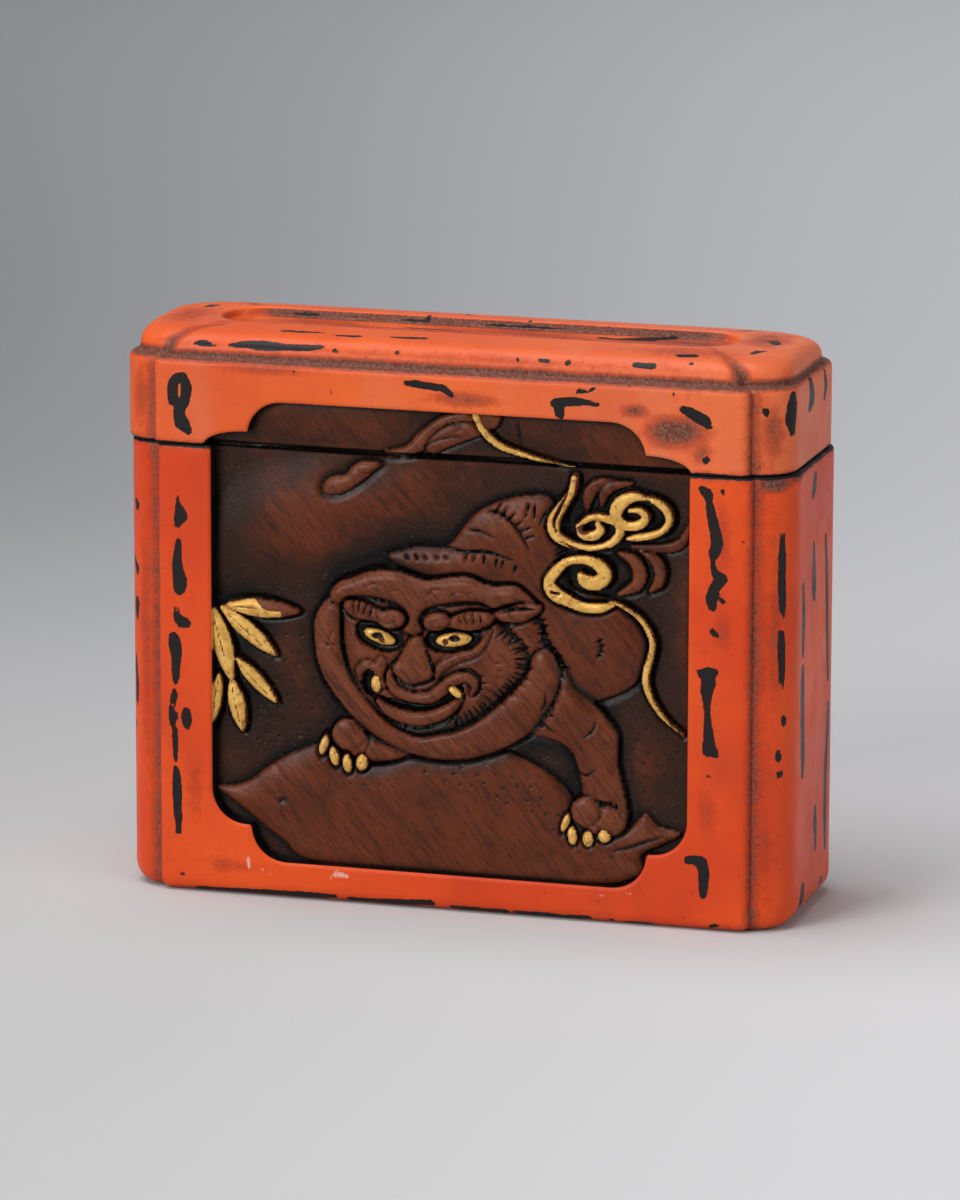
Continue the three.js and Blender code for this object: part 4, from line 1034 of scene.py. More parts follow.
other_chips = (
    # Lower edge of the front
    [(-34.7, -14.1, 0.5, 0.24), (-31.7, -14.1, 0.5, 0.3), (-27.2, -14.2, 0.6, 0.4), (-19, -14.2, 0.7, 0.42),
     (-15.6, -14.3, 0.8, 0.3)],
    [(-13.7, -14.2, 0.6, 0.3), (-10.9, -14.2, 0.6, 0.32), (-6.5, -14.3, 0.7, 0.4), (-2.4, -14.5, 0.9, 0.42)],
    [(0.4, -14.2, 0.6, 0.25), (2.1, -14.1, 0.5, 0.34), (4, -14.2, 0.6, 0.28)],
    [(4.8, -14.1, 0.5, 0.24), (6.1, -14.1, 0.5, 0.36), (7.8, -14.1, 0.5, 0.3)],
    [(9.2, -14.1, 0.5, 0.3), (12, -14.1, 0.5, 0.42), (14.4, -14.1, 0.5, 0.36)],
    [(14.7, -13.9, 0.4, 0.2), (16.9, -14.1, 0.6, 0.36), (18.9, -14.2, 0.6, 0.34)],
    [(22, -14.1, 0.5, 0.3)],
    [(23.6, -13.9, 0.4, 0.16), (27.6, -13.9, 0.4, 0.16)],
    [(35.3, -14.3, 0.7, 0.26), (36.3, -14.5, 1, 0.21)],
    # Left end
    [(-43.7, -12.1, 51.5, 0.5), (-43.6, -12.3, 50.8, 0.5)],
    [(-43, -12.7, 51.5, 0.3)],
    [(-44.3, -11.4, 44.4, 0.25), (-44.1, -11.6, 43.5, 0.4), (-43.8, -12.1, 42.5, 0.6),
     (-43.6, -12.3, 41.8, 0.4)],
    [(-43.8, -12, 38.2, 0.6), (-43.9, -11.9, 37.1, 0.7), (-43.8, -12, 36, 0.4)],
    [(-44.1, -11.7, 31.4, 0.3), (-44.2, -11.5, 29.5, 0.5), (-44, -11.8, 26.9, 0.6), (-44, -11.8, 24.2, 0.35)],
    [(-44.2, -11.5, 21.6, 0.3), (-44.1, -11.6, 21, 0.3)],
    [(-44.5, -11.1, 4.3, 0.25)],
    # Dome
    [(-35, -12.5, 73.2, 0.25), (-33.7, -12.5, 73.2, 0.42), (-32.3, -12.6, 73, 0.19)],
    [(-30.3, -12.5, 73.1, 0.22), (-28.2, -12.4, 73.3, 0.42), (-25.7, -12.4, 73.3, 0.6),
     (-23.2, -12.5, 73.2, 0.4), (-19.5, -12.4, 73.3, 0.4), (-17.7, -12.3, 73.5, 0.22)],
    [(-15.9, -12.6, 73.1, 0.34)],
    [(-7.6, -12.4, 73.3, 0.34)],
    [(8.5, -12.4, 73.3, 0.34)],
    [(15.3, -12.4, 73.3, 0.32)],
    [(11.4, -12.4, 73.4, 0.2), (12.9, -12.4, 73.4, 0.2)],
    [(24.2, -12.3, 73.5, 0.34), (26.6, -12.3, 73.4, 0.36)],
    [(29.4, -10.3, 74.8, 0.4), (31.3, -10, 74.9, 0.6)],
    [(31.4, -11.8, 74, 0.25)],
    [(-9.4, -9.4, 75.1, 0.3), (-6.4, -9.2, 75.1, 0.5), (-4.9, -9.1, 75.1, 0.4)],
    [(-16.6, -10, 74.9, 0.26), (-13.5, -9.8, 74.9, 0.28)],
    [(-24.4, -9, 75.1, 0.3), (-21, -9.2, 75.1, 0.4), (-18.4, -9.1, 75.1, 0.3)],
    [(37.2, 3.4, 75.1, 0.5), (38.6, 1.2, 75, 0.8), (40.4, -1.4, 74.5, 0.5)],
    [(-38.6, 2.3, 75, 0.5), (-38.4, 5.3, 75, 0.8)],
    [(39.2, -4.4, 74.9, 0.5), (38.2, -7.2, 74.8, 0.4)],
    # Floor of the field in the lid's top, and its back wall, whose thin chips are partly painted shade along
    # the wall
    [(-13, 0.4, 74, 0.6), (-10, 0.7, 74, 1.3), (-5.4, 1, 74, 0.8)],
    [(15.2, 2.3, 74, 0.5), (18.1, 1.5, 74, 0.8), (21.1, 3, 74, 1.2), (24.6, 4.6, 74, 0.7)],
    [(3.1, -1.8, 74, 0.4), (8, -1.9, 74, 0.4)],
    [(-29, 5.4, 74.6, 0.02), (-25.5, 5.4, 74.4, 0.18), (-21.8, 5.4, 74.6, 0.04), (-18.4, 5.4, 74.4, 0.14)],
    [(-13.5, 5.4, 74.5, 0.03), (-11, 5.4, 74.3, 0.1), (-8.5, 5.4, 74.4, 0.02)],
    [(-1, 5.4, 74.3, 0.03), (4.5, 5.4, 74.3, 0.1), (9.6, 5.4, 74.4, 0.03)],
    [(-4.3, 8.2, 75.2, 0.4), (-4.3, 8.9, 75.2, 0.4)],
    # Right end and side
    [(41.5, -13.4, 69.4, 0.2), (41.7, -13.3, 68.6, 0.4), (41.7, -13.3, 68.2, 0.26)],
    [(44.8, -10.4, 70.5, 0.6), (44.8, -10.5, 69.2, 1.1), (44.7, -10.7, 67.5, 1.2), (44.8, -10.5, 65.6, 0.6)],
    [(44.8, -2.4, 70.5, 0.8), (44.8, -1.5, 68.6, 1.2), (44.8, -2.9, 67.4, 0.6)],
    [(44.8, 5, 70.7, 0.4), (44.8, 5.8, 68.7, 0.7), (44.8, 5.1, 67.3, 0.4)],
    [(43.7, -12.1, 52.6, 0.26), (43.7, -12.1, 50.1, 0.4), (43.7, -12.1, 46.6, 0.5), (43.8, -12, 43.5, 0.44),
     (43.8, -12, 41.8, 0.27)],
    [(43.7, -12.1, 40, 0.3), (43.7, -12.1, 38, 0.48), (43.8, -12, 34.9, 0.4), (43.8, -12, 32.5, 0.25)],
    [(44, -11.7, 28.5, 0.27), (44.1, -11.7, 27.5, 0.24)],
    [(43.6, -12.2, 23.8, 0.4), (43.6, -12.2, 23, 0.34)],
    [(43.7, -12.1, 21.2, 0.36), (43.7, -12.1, 20.6, 0.26)],
    [(45.2, -6.8, 45, 0.4), (45.2, -6.4, 41.4, 0.7), (45.2, -6.3, 38.8, 0.7), (45.2, -6.6, 35.8, 0.5)],
    [(45.2, -6.5, 33.8, 0.6), (45.2, -6.5, 30.7, 0.9), (45.2, -6.3, 26.1, 0.95), (45.2, -5.9, 21.9, 0.9),
     (45.2, -6, 19.6, 0.55)],
    [(45.2, -1.2, 49.2, 0.43), (45.2, -1.1, 46.3, 0.8), (45.2, -0.9, 43.3, 1), (45.2, -0.7, 41.9, 0.45)],
    [(45.2, 1, 13.5, 0.44), (45.2, 1.1, 11.4, 0.8), (45.2, 1.5, 8, 0.44)],
    [(45.2, 5, 48.9, 0.43), (45.2, 5.9, 44.4, 0.65), (45.2, 6.5, 36, 0.66), (45.2, 7.3, 29.6, 0.44)],
    [(45.2, 7.5, 26, 0.44), (45.2, 7.3, 22.4, 0.66), (45.2, 6.5, 17.4, 0.66), (45.2, 6.4, 11.2, 0.66),
     (45.2, 6.8, 6.9, 0.44)],
    [(45.2, -5.2, 4.2, 0.8), (45, -5.6, 2.9, 1.1)],
    [(45.2, 4.9, 2.6, 0.66)],
    [(45.2, -0.9, 58, 0.8), (45.2, -1.4, 56.8, 1), (45.2, -2, 55.8, 0.6)],
)
# Places where the lacquer is worn thin and brown: middle, reach and how strongly
rubbed_places = (
    ((30.4, front, 65.6), (4.6, 2, 2.4), 0.95),
    ((24.8, front, 68), (2.2, 2, 1), 0.7),
    ((33.6, front, 62.9), (1.6, 2, 1.6), 0.6),
    ((34.6, front, 16), (1.6, 2, 3.4), 0.45),
    ((36.6, front, 40), (1.6, 2, 2.6), 0.45),
    ((36.4, front, 52), (1.4, 2, 5), 0.4),
    ((2, front, 68.2), (6, 2, 1.1), 0.6),
    ((-25, front, 70.6), (7, 2, 0.7), 0.5),
    ((-34.8, front, 14), (1.4, 2, 4.5), 0.35),
    ((-30, front, 4), (5, 2, 1.2), 0.35),
    ((42.6, -12.6, 59.2), (2.6, 2.6, 1.1), 1.25),
    ((44.6, -9, 59.6), (1.2, 3, 0.7), 1.1),
    ((43, -12.6, 40), (1.2, 1.6, 16), 0.42),
    ((42, -13, 12), (1.2, 1.6, 8), 0.42),
    ((42.6, -12.9, 66), (2.2, 1.6, 4.5), 0.6),
    ((-42.4, -12.9, 66), (1.8, 1.6, 4.5), 0.5),
    ((-42, -13, 34), (0.9, 1.6, 22), 0.5),
    ((-24, 0, 74), (9, 5, 1.2), 0.62),
    ((4, 1, 74), (15, 4, 1.2), 0.5),
    ((27, 1, 74), (8, 4, 1.2), 0.7),
    ((-39, -2, 75), (3.5, 6, 1.2), 0.5),
    ((38, 2, 75), (3.5, 6, 1.2), 0.55),
    ((30, -8.6, 75), (8, 2.2, 1.6), 0.46),
    ((-1, -12.4, 73.2), (36, 1.4, 0.8), 0.3),
)
scuffs = (
    [(-16.1, 3.4, 0.3), (-15.1, 3.9, 0.5), (-13.6, 3.6, 0.3)],
    [(-27.5, 5.4, 0.22), (-27.3, 3.9, 0.22)],
    [(-25.8, 3.7, 0.16), (-24, 3.2, 0.16)],
    [(23.8, 4.2, 0.2), (24.6, 4.2, 0.2)],
    [(20.1, 3.6, 0.2), (20.8, 3.8, 0.2)],
)


def streak(start, way, length, half):
    """A chip along a line, thin at its ends."""
    steps = max(int(length / 2.2), 2)
    start, way = np.array(start, float), np.array(way, float)
    sideways = np.array((way[2], 0, way[0])) if start[1] > back - 2 else np.array((0, way[2], way[1]))
    balls = []
    for share in np.linspace(0, 1, steps):
        width = half * (0.45 + 0.55 * math.sin(math.pi * share)) * chance.uniform(0.75, 1.25)
        place = start + way * length * share + sideways * chance.uniform(-0.35, 0.35)
        balls.append((*place, width))
    return balls


def chance_chips():
    """Chips of the same kind on the sides that the front view doesn't show."""
    chips = []
    # Just off the left end's face, which keeps its chips thin
    left = -45.2
    # Up the two borders of the back
    border_top = 57
    for x, wander in ((-36.4, 1.6), (36.2, 1.6)):
        z = 4.0
        while z < border_top:
            length = chance.uniform(1.2, 8)
            start = (x + chance.uniform(-wander, wander), back, z)
            chips.append(streak(start, (0, 0, 1), min(length, border_top - z), chance.uniform(0.3, 0.75)))
            z += length + chance.uniform(0.6, 3.5)
    # Up the left end
    for y in (-6.4, -1, 4.6, 8.8):
        z = chance.uniform(5, 14)
        while z < 54:
            length = chance.uniform(3, 15)
            start = (left, y + chance.uniform(-0.8, 0.8), z)
            chips.append(streak(start, (0, 0, 1), min(length, 56 - z), chance.uniform(0.3, 0.62)))
            z += length + chance.uniform(2, 9)
    # Along the back's upper and lower edge
    for z, y, low, high in ((69.6, back, -38, 38), (0.6, back - 0.5, -37, 37)):
        x = low
        while x < high:
            length = chance.uniform(0.8, 7)
            chips.append(streak((x, y, z), (1, 0, 0), min(length, high - x), chance.uniform(0.2, 0.5)))
            x += length + chance.uniform(1.5, 8)
    # On the dome and in its field
    for _ in range(9):
        x = chance.uniform(-31, 29)
        y = chance.choice((chance.uniform(-6.6, 6.6), 9.6, -9.6))
        z = box_height - (field_depth if abs(y) < 7 else 0)
        chips.append(streak((x, y, z), (1, 0, 0), chance.uniform(1, 5), chance.uniform(0.25, 0.6)))
    # Specks on the back, the left end and the top
    for _ in range(70):
        side = chance.integers(3)
        across, up = chance.uniform(-42, 42), chance.uniform(3, 69)
        on_end = (left, chance.uniform(-9, 9), up)
        on_top = (across, chance.uniform(-11, 11), box_height - 0.05)
        place = ((across, back, up), on_end, on_top)[side]
        chips.append([(*place, chance.uniform(0.12, 0.34))])
    return chips


def mesh_places(piece):
    flat = np.empty(len(piece.data.vertices) * 3)
    piece.data.vertices.foreach_get("co", flat)
    return flat.reshape(-1, 3) / mm


def give_attribute(piece, name, values):
    attribute = piece.data.attributes.new(name, "FLOAT", "POINT")
    attribute.data.foreach_set("value", np.asarray(values, dtype=np.float32))


def panel_inside(x, z):
    """How deep places on the front lie inside the panel's outline."""
    ring = panel_ring(0, 0)[:, (0, 2)]
    inside = np.full(x.shape, -far)
    off_middle = np.abs(z - panel_bottom - panel_height / 2)
    close = (np.abs(x) < panel_width / 2 + 4) & (off_middle < panel_height / 2 + 4)
    inside[close] = outline_inside(x[close], z[close], ring)
    return inside


def chain_inside(places, chain):
    """How deep places lie inside a chain of balls."""
    inside = np.full(len(places), -far)
    chain = [np.array(ball) for ball in chain]
    for start, end in zip(chain, chain[1:] or chain):
        run = end[:3] - start[:3]
        share = np.clip((places - start[:3]) @ run / max(run @ run, 1e-9), 0, 1)
        away = np.linalg.norm(places - start[:3] - share[:, None] * run, axis=1)
        inside = np.maximum(inside, start[3] + (end[3] - start[3]) * share - away)
    return inside


def all_chains_inside(places, chains):
    inside = np.full(len(places), -3.0)
    for chain in chains:
        middle = np.mean([ball[:3] for ball in chain], axis=0)
        reach = max(np.linalg.norm(np.array(ball[:3]) - middle) + ball[3] for ball in chain) + 2
        some = np.nonzero(np.abs(places - middle).max(axis=1) < reach)[0]
        if len(some):
            inside[some] = np.maximum(inside[some], chain_inside(places[some], chain))
    return inside


def on_front(chains):
    return [[(x, front, z, half) for x, z, half in chain] for chain in chains]


every_chip = on_front(front_chips) + list(other_chips) + chance_chips()


def on_either_side(distance, one, other):
    """One of two reaches and starts for a fading, by the side that a distance is on."""
    return np.where(distance > 0, fading(distance, *one), fading(-distance, *other))


def wear_and_shade(places, middle):
    """How far the lacquer is worn thin and brown at edges and in patches, and darkened as painted shade in
    the outline's hollows, on the field's walls and at the seam.
    """
    x, y, z = (places - (middle, 0, 0)).T
    # The creases where the ends meet the slab, darkened as painted shade, and a paler band beside each
    beyond = np.abs(x) - slab_width / 2
    crease = 0.66 * on_either_side(beyond, (1.6, 1.25), (0.55, 1.1))
    beside = np.where(x > 0, 0.34, 0.12) * on_either_side(beyond, (4.2,), (1.2,))
    on_side = (np.abs(y) > end_depth / 2 - 2) & (z < skirt_top)
    amount = np.where(on_side, np.maximum(crease, beside), 0)
    # The ledge, and the dome's four corner creases, whose darkening is painted shade
    above = z - skirt_top
    amount = np.maximum(amount, np.minimum(fading(np.abs(above - 0.32), 0.62, 1.4), 0.95))
    share = np.clip((above - dome_foot) / dome_rise, 0, 1)
    curve_in = 1 - (1 - share ** (2 / dome_fullness)) ** (dome_fullness / 2)
    corner = np.abs(beyond + dome_setback + dome_rounding * curve_in)
    on_dome = (above > 0) & (np.abs(y) > 6)
    amount = np.maximum(amount, np.where(on_dome, (0.95 - 0.5 * share) * fading(corner, 1.2, 1.3), 0))
    # The walls of the field in the lid's top: painted shade in the recess, together with wear
    in_field = (np.abs(y) < field_width / 2 + 0.1) & (np.abs(x) < field_length / 2 + 0.1)
    field_wall = in_field & (z > box_height - field_depth - 0.02) & (z < box_height - 0.1)
    field_wall &= (np.abs(y) > field_width / 2 - 1.2) | (np.abs(x) > field_length / 2 - 3)
    towards_ends = np.clip((field_length / 2 - np.abs(x)) / 6, 0.3, 1)
    amount = np.maximum(amount, np.where(field_wall, 0.88 * towards_ends, 0))
    # The seam, darkened as painted shade in its gap, the foot, and the patches
    amount = np.maximum(amount, 0.7 * fading(np.abs(z - seam_height), 0.8))
    amount = np.maximum(amount, 0.6 * fading(z, 1.1))
    for place, reach, strength in rubbed_places:
        away = np.linalg.norm((places - place) / reach, axis=1)
        amount = np.maximum(amount, strength * fading(away, 1, 1.25))
    return amount


def mark_surface(piece, middle):
    """Writes the wear, the painted shade, the gilding and the relief on a piece, for its materials to read.
    """
    places = mesh_places(piece)
    x, y, z = (places - (middle, 0, 0)).T
    at_front = y < front + 3.4
    seam = np.abs(z - seam_height)
    for name in ("gilt", "height"):
        give_attribute(piece, name, np.where(at_front, read_off(relief[name], x, z), 0.0))
    # Painted shade for the wood: the relief's hollows and cuts, the panel's edge under the frame's lip, and
    # the seam's gap
    sunk = read_off(relief["sunk"], x, z) + 0.8 * fading(panel_inside(x, z), 0.7) + 1.2 * fading(seam, 0.55)
    give_attribute(piece, "sunk", np.where(at_front, sunk, 0.0))
    # Chips, and painted shade: black along the seam's gap between lid and case
    give_attribute(piece, "chips_and_seam_shade", np.maximum(all_chains_inside(places, every_chip), 0.24 - seam))
    give_attribute(piece, "rubbed_and_shade", wear_and_shade(places, middle))
    give_attribute(piece, "scuffed", all_chains_inside(places, on_front(scuffs)))


def sort_faces(piece, middle):
    """Gives each face its material: 0 lacquer, 1 carved wood, 2 the dark inside."""
    count = len(piece.data.polygons)
    middles = np.empty(count * 3)
    piece.data.polygons.foreach_get("center", middles)
    x, y, z = middles.reshape(-1, 3).T / mm
    x = x - middle
    kind = np.zeros(count, int)
    kind[(y > front + 0.01) & (y < front + 4) & (panel_inside(x, z) > -0.03)] = 1
    hollow_width, hollow_depth, _ = grown(cavity, lid_room + 0.1)
    inside = (np.abs(x) < hollow_width / 2) & (np.abs(y) < hollow_depth / 2) & (z > 1)
    inside &= z < box_height - field_depth - lid_top_thickness + 0.1
    kind[inside] = 2
    piece.data.polygons.foreach_set("material_index", kind)


def finish_piece(piece, middle, node, materials):
    """Carves a piece, gives it its finish, and puts it in its node's place."""
    combine(piece, panel_tool("carving", front, -1, panel_depth * (1 - relief["height"])), "DIFFERENCE")
    back_points = (int(grid_height / back_pitch) + 1, int(grid_width / back_pitch) + 1)
    combine(piece, panel_tool("back panel", back, 1, np.full(back_points, back_panel_depth)), "DIFFERENCE")
    shift_across(piece, middle)
    piece.data.materials.clear()
    for material in materials:
        piece.data.materials.append(material)
    sort_faces(piece, middle)
    mark_surface(piece, middle)
    nothing_selected()
    piece.select_set(True)
    bpy.context.view_layer.objects.active = piece
    bpy.ops.object.shade_smooth_by_angle(angle=math.radians(smooth_angle))
    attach(piece, "root")
    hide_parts(node)


def new_material(name):
    material = bpy.data.materials.new(name)
    material.use_nodes = True
    return material, material.node_tree, material.node_tree.nodes["Principled BSDF"]


def node(tree, kind, inputs, **settings):
    new = tree.nodes.new(kind)
    for name, value in settings.items():
        setattr(new, name, value)
    for name, value in inputs.items():
        if isinstance(value, bpy.types.NodeSocket):
            tree.links.new(value, new.inputs[name])
        else:
            new.inputs[name].default_value = value
    return new


def maths(tree, operation, first, second):
    return node(tree, "ShaderNodeMath", {0: first, 1: second}, operation=operation).outputs[0]


def plus(tree, first, second):
    return maths(tree, "ADD", first, second)


def times(tree, first, second):
    return maths(tree, "MULTIPLY", first, second)


def between(tree, value, low, high, to_low=0.0, to_high=1.0):
    """A value brought from one range to another, and kept in it."""
    inputs = {"Value": value, "From Min": low, "From Max": high, "To Min": to_low, "To Max": to_high}
    return node(tree, "ShaderNodeMapRange", inputs, interpolation_type="SMOOTHSTEP").outputs[0]


def mottle(tree, where, scale, detail=3.0, roughness=0.55):
    inputs = {"Vector": where, "Scale": scale, "Detail": detail, "Roughness": roughness}
    return node(tree, "ShaderNodeTexNoise", inputs).outputs["Fac"]


def tint(tree, share, one, other):
    """A colour that goes from one to another as share goes from 0 to 1."""
    inputs = {"Factor": share}
    mix = node(tree, "ShaderNodeMix", inputs, data_type="RGBA")
    for socket, value in ((mix.inputs[6], one), (mix.inputs[7], other)):
        if isinstance(value, bpy.types.NodeSocket):
            tree.links.new(value, socket)
        else:
            socket.default_value = (*value, 1)
    return mix.outputs[2]


def field_of(tree, name):
    return node(tree, "ShaderNodeAttribute", {}, attribute_name=name).outputs["Fac"]


def roughened(tree, field, where, amounts):
    """A field with its edge made irregular by mottling, given as scale and amount."""
    for scale, amount in amounts:
        waver = maths(tree, "SUBTRACT", mottle(tree, where, scale), 0.5)
        field = plus(tree, field, times(tree, waver, amount))
    return field


def patchy(tree, where, scale, detail, low, high, to_low=0.0, to_high=1.0):
    """Mottling brought from one range to another."""
    return between(tree, mottle(tree, where, scale, detail), low, high, to_low, to_high)


def bumped(tree, height, distance, strength, below=None):
    inputs = {"Height": height, "Distance": distance * mm, "Strength": strength}
    if below is not None:
        inputs["Normal"] = below
    return node(tree, "ShaderNodeBump", inputs).outputs["Normal"]


def soft_coat(shader, specular, coat, coat_roughness):
    shader.inputs["Specular IOR Level"].default_value = specular
    shader.inputs["Coat Weight"].default_value = coat
    shader.inputs["Coat Roughness"].default_value = coat_roughness


# Colours of the worn lacquer; the thinned red and browns also paint shade at the seam, in the creases and on
# the field's walls
black_ground_and_seam_shade = (0.012, 0.009, 0.009)
thinned_and_shaded_red = (0.4, 0.036, 0.009)
wear_and_shade_dark = (0.075, 0.03, 0.02)
wear_and_shade_light = (0.185, 0.1, 0.075)
scuff_pale = (0.78, 0.5, 0.42)


def lacquer(name, bright, deep, dust_and_sheen, paling):
    """Worn orange-red lacquer over black: chips to the black, brown wear, specks, satin, and painted shade at
    the seam, creases and field walls.
    """
    material, tree, shader = new_material(name)
    where = node(tree, "ShaderNodeTexCoord", {}).outputs["Object"]
    # Black where the lacquer is chipped through, and painted shade along the seam
    chips_and_seam_shade = roughened(tree, field_of(tree, "chips_and_seam_shade"), where, ((420, 0.4), (1500, 0.3), (4200, 0.12)))
    black = between(tree, chips_and_seam_shade, -0.16, -0.07)
    rubbed_and_shade = roughened(tree, field_of(tree, "rubbed_and_shade"), where, ((200, 0.5), (900, 0.45), (3600, 0.24)))
    brown = between(tree, rubbed_and_shade, 0.26, 0.86, 0, 0.88)
    scuffed = roughened(tree, field_of(tree, "scuffed"), where, ((1600, 0.8),))
    pale = between(tree, scuffed, -0.05, 0.2, 0, 0.7)
    specks = times(tree, patchy(tree, where, 1900, 1, 0.745, 0.775), patchy(tree, where, 90, 1, 0.46, 0.56))
    # Pale upright streaks of dust, stronger towards the right end, where they and the paling are partly a
    # painted sheen
    stretched = node(tree, "ShaderNodeMapping", {"Vector": where, "Scale": (1, 1, 0.3)}).outputs[0]
    haze_and_sheen = between(tree, mottle(tree, stretched, 130, 5, 0.6), 0.5, 0.78, 0, 0.45)
    across = node(tree, "ShaderNodeSeparateXYZ", {"Vector": where}).outputs["X"]
    right_side = between(tree, across, -0.02, 0.045)
    haze_and_sheen = times(tree, haze_and_sheen, plus(tree, times(tree, right_side, 0.8), 0.6))
    haze_and_sheen = plus(tree, haze_and_sheen, times(tree, right_side, paling))
    colour = tint(tree, patchy(tree, where, 45, 4, 0.3, 0.7), bright, deep)
    colour = tint(tree, patchy(tree, where, 3000, 2, 0.35, 0.7, 0, 0.2), colour, deep)
    colour = tint(tree, haze_and_sheen, colour, dust_and_sheen)
    colour = tint(tree, between(tree, rubbed_and_shade, 0.02, 0.4, 0, 0.6), colour, thinned_and_shaded_red)
    # Worn brown, which also paints the shade at the seam, in the creases and on the field's walls
    worn = tint(tree, patchy(tree, where, 2600, 4, 0.4, 0.66), wear_and_shade_dark, wear_and_shade_light)
    colour = tint(tree, brown, colour, worn)
    colour = tint(tree, pale, colour, scuff_pale)
    colour = tint(tree, maths(tree, "MAXIMUM", black, specks), colour, black_ground_and_seam_shade)
    tree.links.new(colour, shader.inputs["Base Color"])
    gloss = plus(tree, patchy(tree, where, 320, 4, 0.3, 0.7, 0.34, 0.46), times(tree, brown, 0.3))
    tree.links.new(gloss, shader.inputs["Roughness"])
    waves = bumped(tree, mottle(tree, where, 200, 2), 0.16, 0.4)
    grit = bumped(tree, mottle(tree, where, 2400, 3), 0.02, 0.4, waves)
    lost = maths(tree, "MAXIMUM", times(tree, brown, 0.3), black)
    sunk = bumped(tree, maths(tree, "SUBTRACT", 1.0, lost), 0.07, 0.8, grit)
    tree.links.new(sunk, shader.inputs["Normal"])
    soft_coat(shader, 0.17, 0.05, 0.22)
    return material


# Colours of the carved wood from its hollows to its rises, of its cuts and dust, and of its gilding
# The low tone in the hollows is painted shade; the high tone on the top rises is partly wear, partly painted
# highlight
wood_low = (0.03, 0.0105, 0.0048)
wood_middle = (0.125, 0.0265, 0.008)
wood_high = (0.185, 0.051, 0.021)
grain_dark = (0.035, 0.011, 0.006)
line_dark = (0.013, 0.006, 0.0045)
# Painted shade: the black of the cuts
cut_shade_black = (0.003, 0.002, 0.0018)
dust_tone = (0.13, 0.1, 0.065)
gold_bright = (0.8, 0.47, 0.12)
gold_deep = (0.6, 0.32, 0.07)
gold_thin = (0.26, 0.1, 0.03)
# Painted shade on the gilding in the cuts
gold_cut_shade = (0.1, 0.035, 0.012)

# The fine cut lines slant down to the right, and are much longer than they are wide
line_slant = -40
line_stretch = 9


def carved_wood(name):
    """Dark carved wood: red-brown on the rises, painted black shade in the cuts and hollows, with fine lines
    and worn gilding.
    """
    material, tree, shader = new_material(name)
    where = node(tree, "ShaderNodeTexCoord", {}).outputs["Object"]
    slant = {"Vector": where, "Rotation": (0, math.radians(line_slant), 0), "Scale": (1, 1, line_stretch)}
    line_way = node(tree, "ShaderNodeMapping", slant, vector_type="TEXTURE").outputs[0]
    lines = mottle(tree, line_way, 3600, 2, 0.6)
    grain = mottle(tree, line_way, 1100, 4, 0.6)
    patches = plus(tree, mottle(tree, where, 75, 4, 0.6), mottle(tree, where, 210, 4, 0.65))
    sunk = roughened(tree, field_of(tree, "sunk"), where, ((900, 0.2), (3000, 0.2)))
    # How far each place stands up, from the relief, the mottling and the cuts
    rise = plus(tree, times(tree, field_of(tree, "height"), 0.75), times(tree, patches, 0.8))
    rise = maths(tree, "SUBTRACT", rise, 0.4)
    rise = maths(tree, "SUBTRACT", rise, times(tree, sunk, 0.85))
    # Painted shade: low and sunk places go dark, and the highest rises lighter, partly as wear and partly as
    # painted highlight
    colour = tint(tree, between(tree, rise, 0.36, 1.0), wood_low, wood_middle)
    colour = tint(tree, between(tree, rise, 0.92, 1.45, 0, 0.7), colour, wood_high)
    colour = tint(tree, between(tree, grain, 0.42, 0.7, 0, 0.55), colour, grain_dark)
    colour = tint(tree, between(tree, lines, 0.5, 0.68, 0, 0.5), colour, line_dark)
    colour = tint(tree, between(tree, sunk, 0.1, 0.85), colour, cut_shade_black)
    grains = patchy(tree, where, 3900, 1, 0.66, 0.74, 0, 0.5)
    dust = times(tree, grains, between(tree, rise, 0.2, 0.7, 1, 0))
    colour = tint(tree, dust, colour, dust_tone)
    gilt = roughened(tree, field_of(tree, "gilt"), where, ((700, 0.5), (2600, 0.5)))
    gold = between(tree, gilt, 0.1, 0.3)
    gold_tone = tint(tree, patchy(tree, where, 900, 3, 0.3, 0.7), gold_bright, gold_deep)
    gold_tone = tint(tree, patchy(tree, where, 1500, 3, 0.56, 0.68, 0, 0.72), gold_tone, gold_thin)
    # Painted shade darkens the gilding in the cuts
    gold_tone = tint(tree, between(tree, sunk, 0.15, 0.5, 0, 0.8), gold_tone, gold_cut_shade)
    colour = tint(tree, gold, colour, gold_tone)
    tree.links.new(colour, shader.inputs["Base Color"])
    tree.links.new(times(tree, gold, 0.2), shader.inputs["Metallic"])
    tree.links.new(patchy(tree, where, 600, 3, 0.3, 0.7, 0.28, 0.42), shader.inputs["Roughness"])
    cut_lines = bumped(tree, lines, 0.05, 0.55)
    fine = bumped(tree, mottle(tree, where, 2200, 3), 0.04, 0.5, cut_lines)
    tree.links.new(fine, shader.inputs["Normal"])
    soft_coat(shader, 0.15, 0.03, 0.3)
    return material


def dark_inside(name):
    """The plain dark lacquer of the inside."""
    material, tree, shader = new_material(name)
    where = node(tree, "ShaderNodeTexCoord", {}).outputs["Object"]
    colour = tint(tree, patchy(tree, where, 160, 5, 0.3, 0.7), (0.016, 0.010, 0.009), (0.035, 0.016, 0.011))
    tree.links.new(colour, shader.inputs["Base Color"])
    tree.links.new(patchy(tree, where, 500, 3, 0.3, 0.7, 0.4, 0.55), shader.inputs["Roughness"])
    tree.links.new(bumped(tree, mottle(tree, where, 900, 3), 0.04, 0.3), shader.inputs["Normal"])
    return material


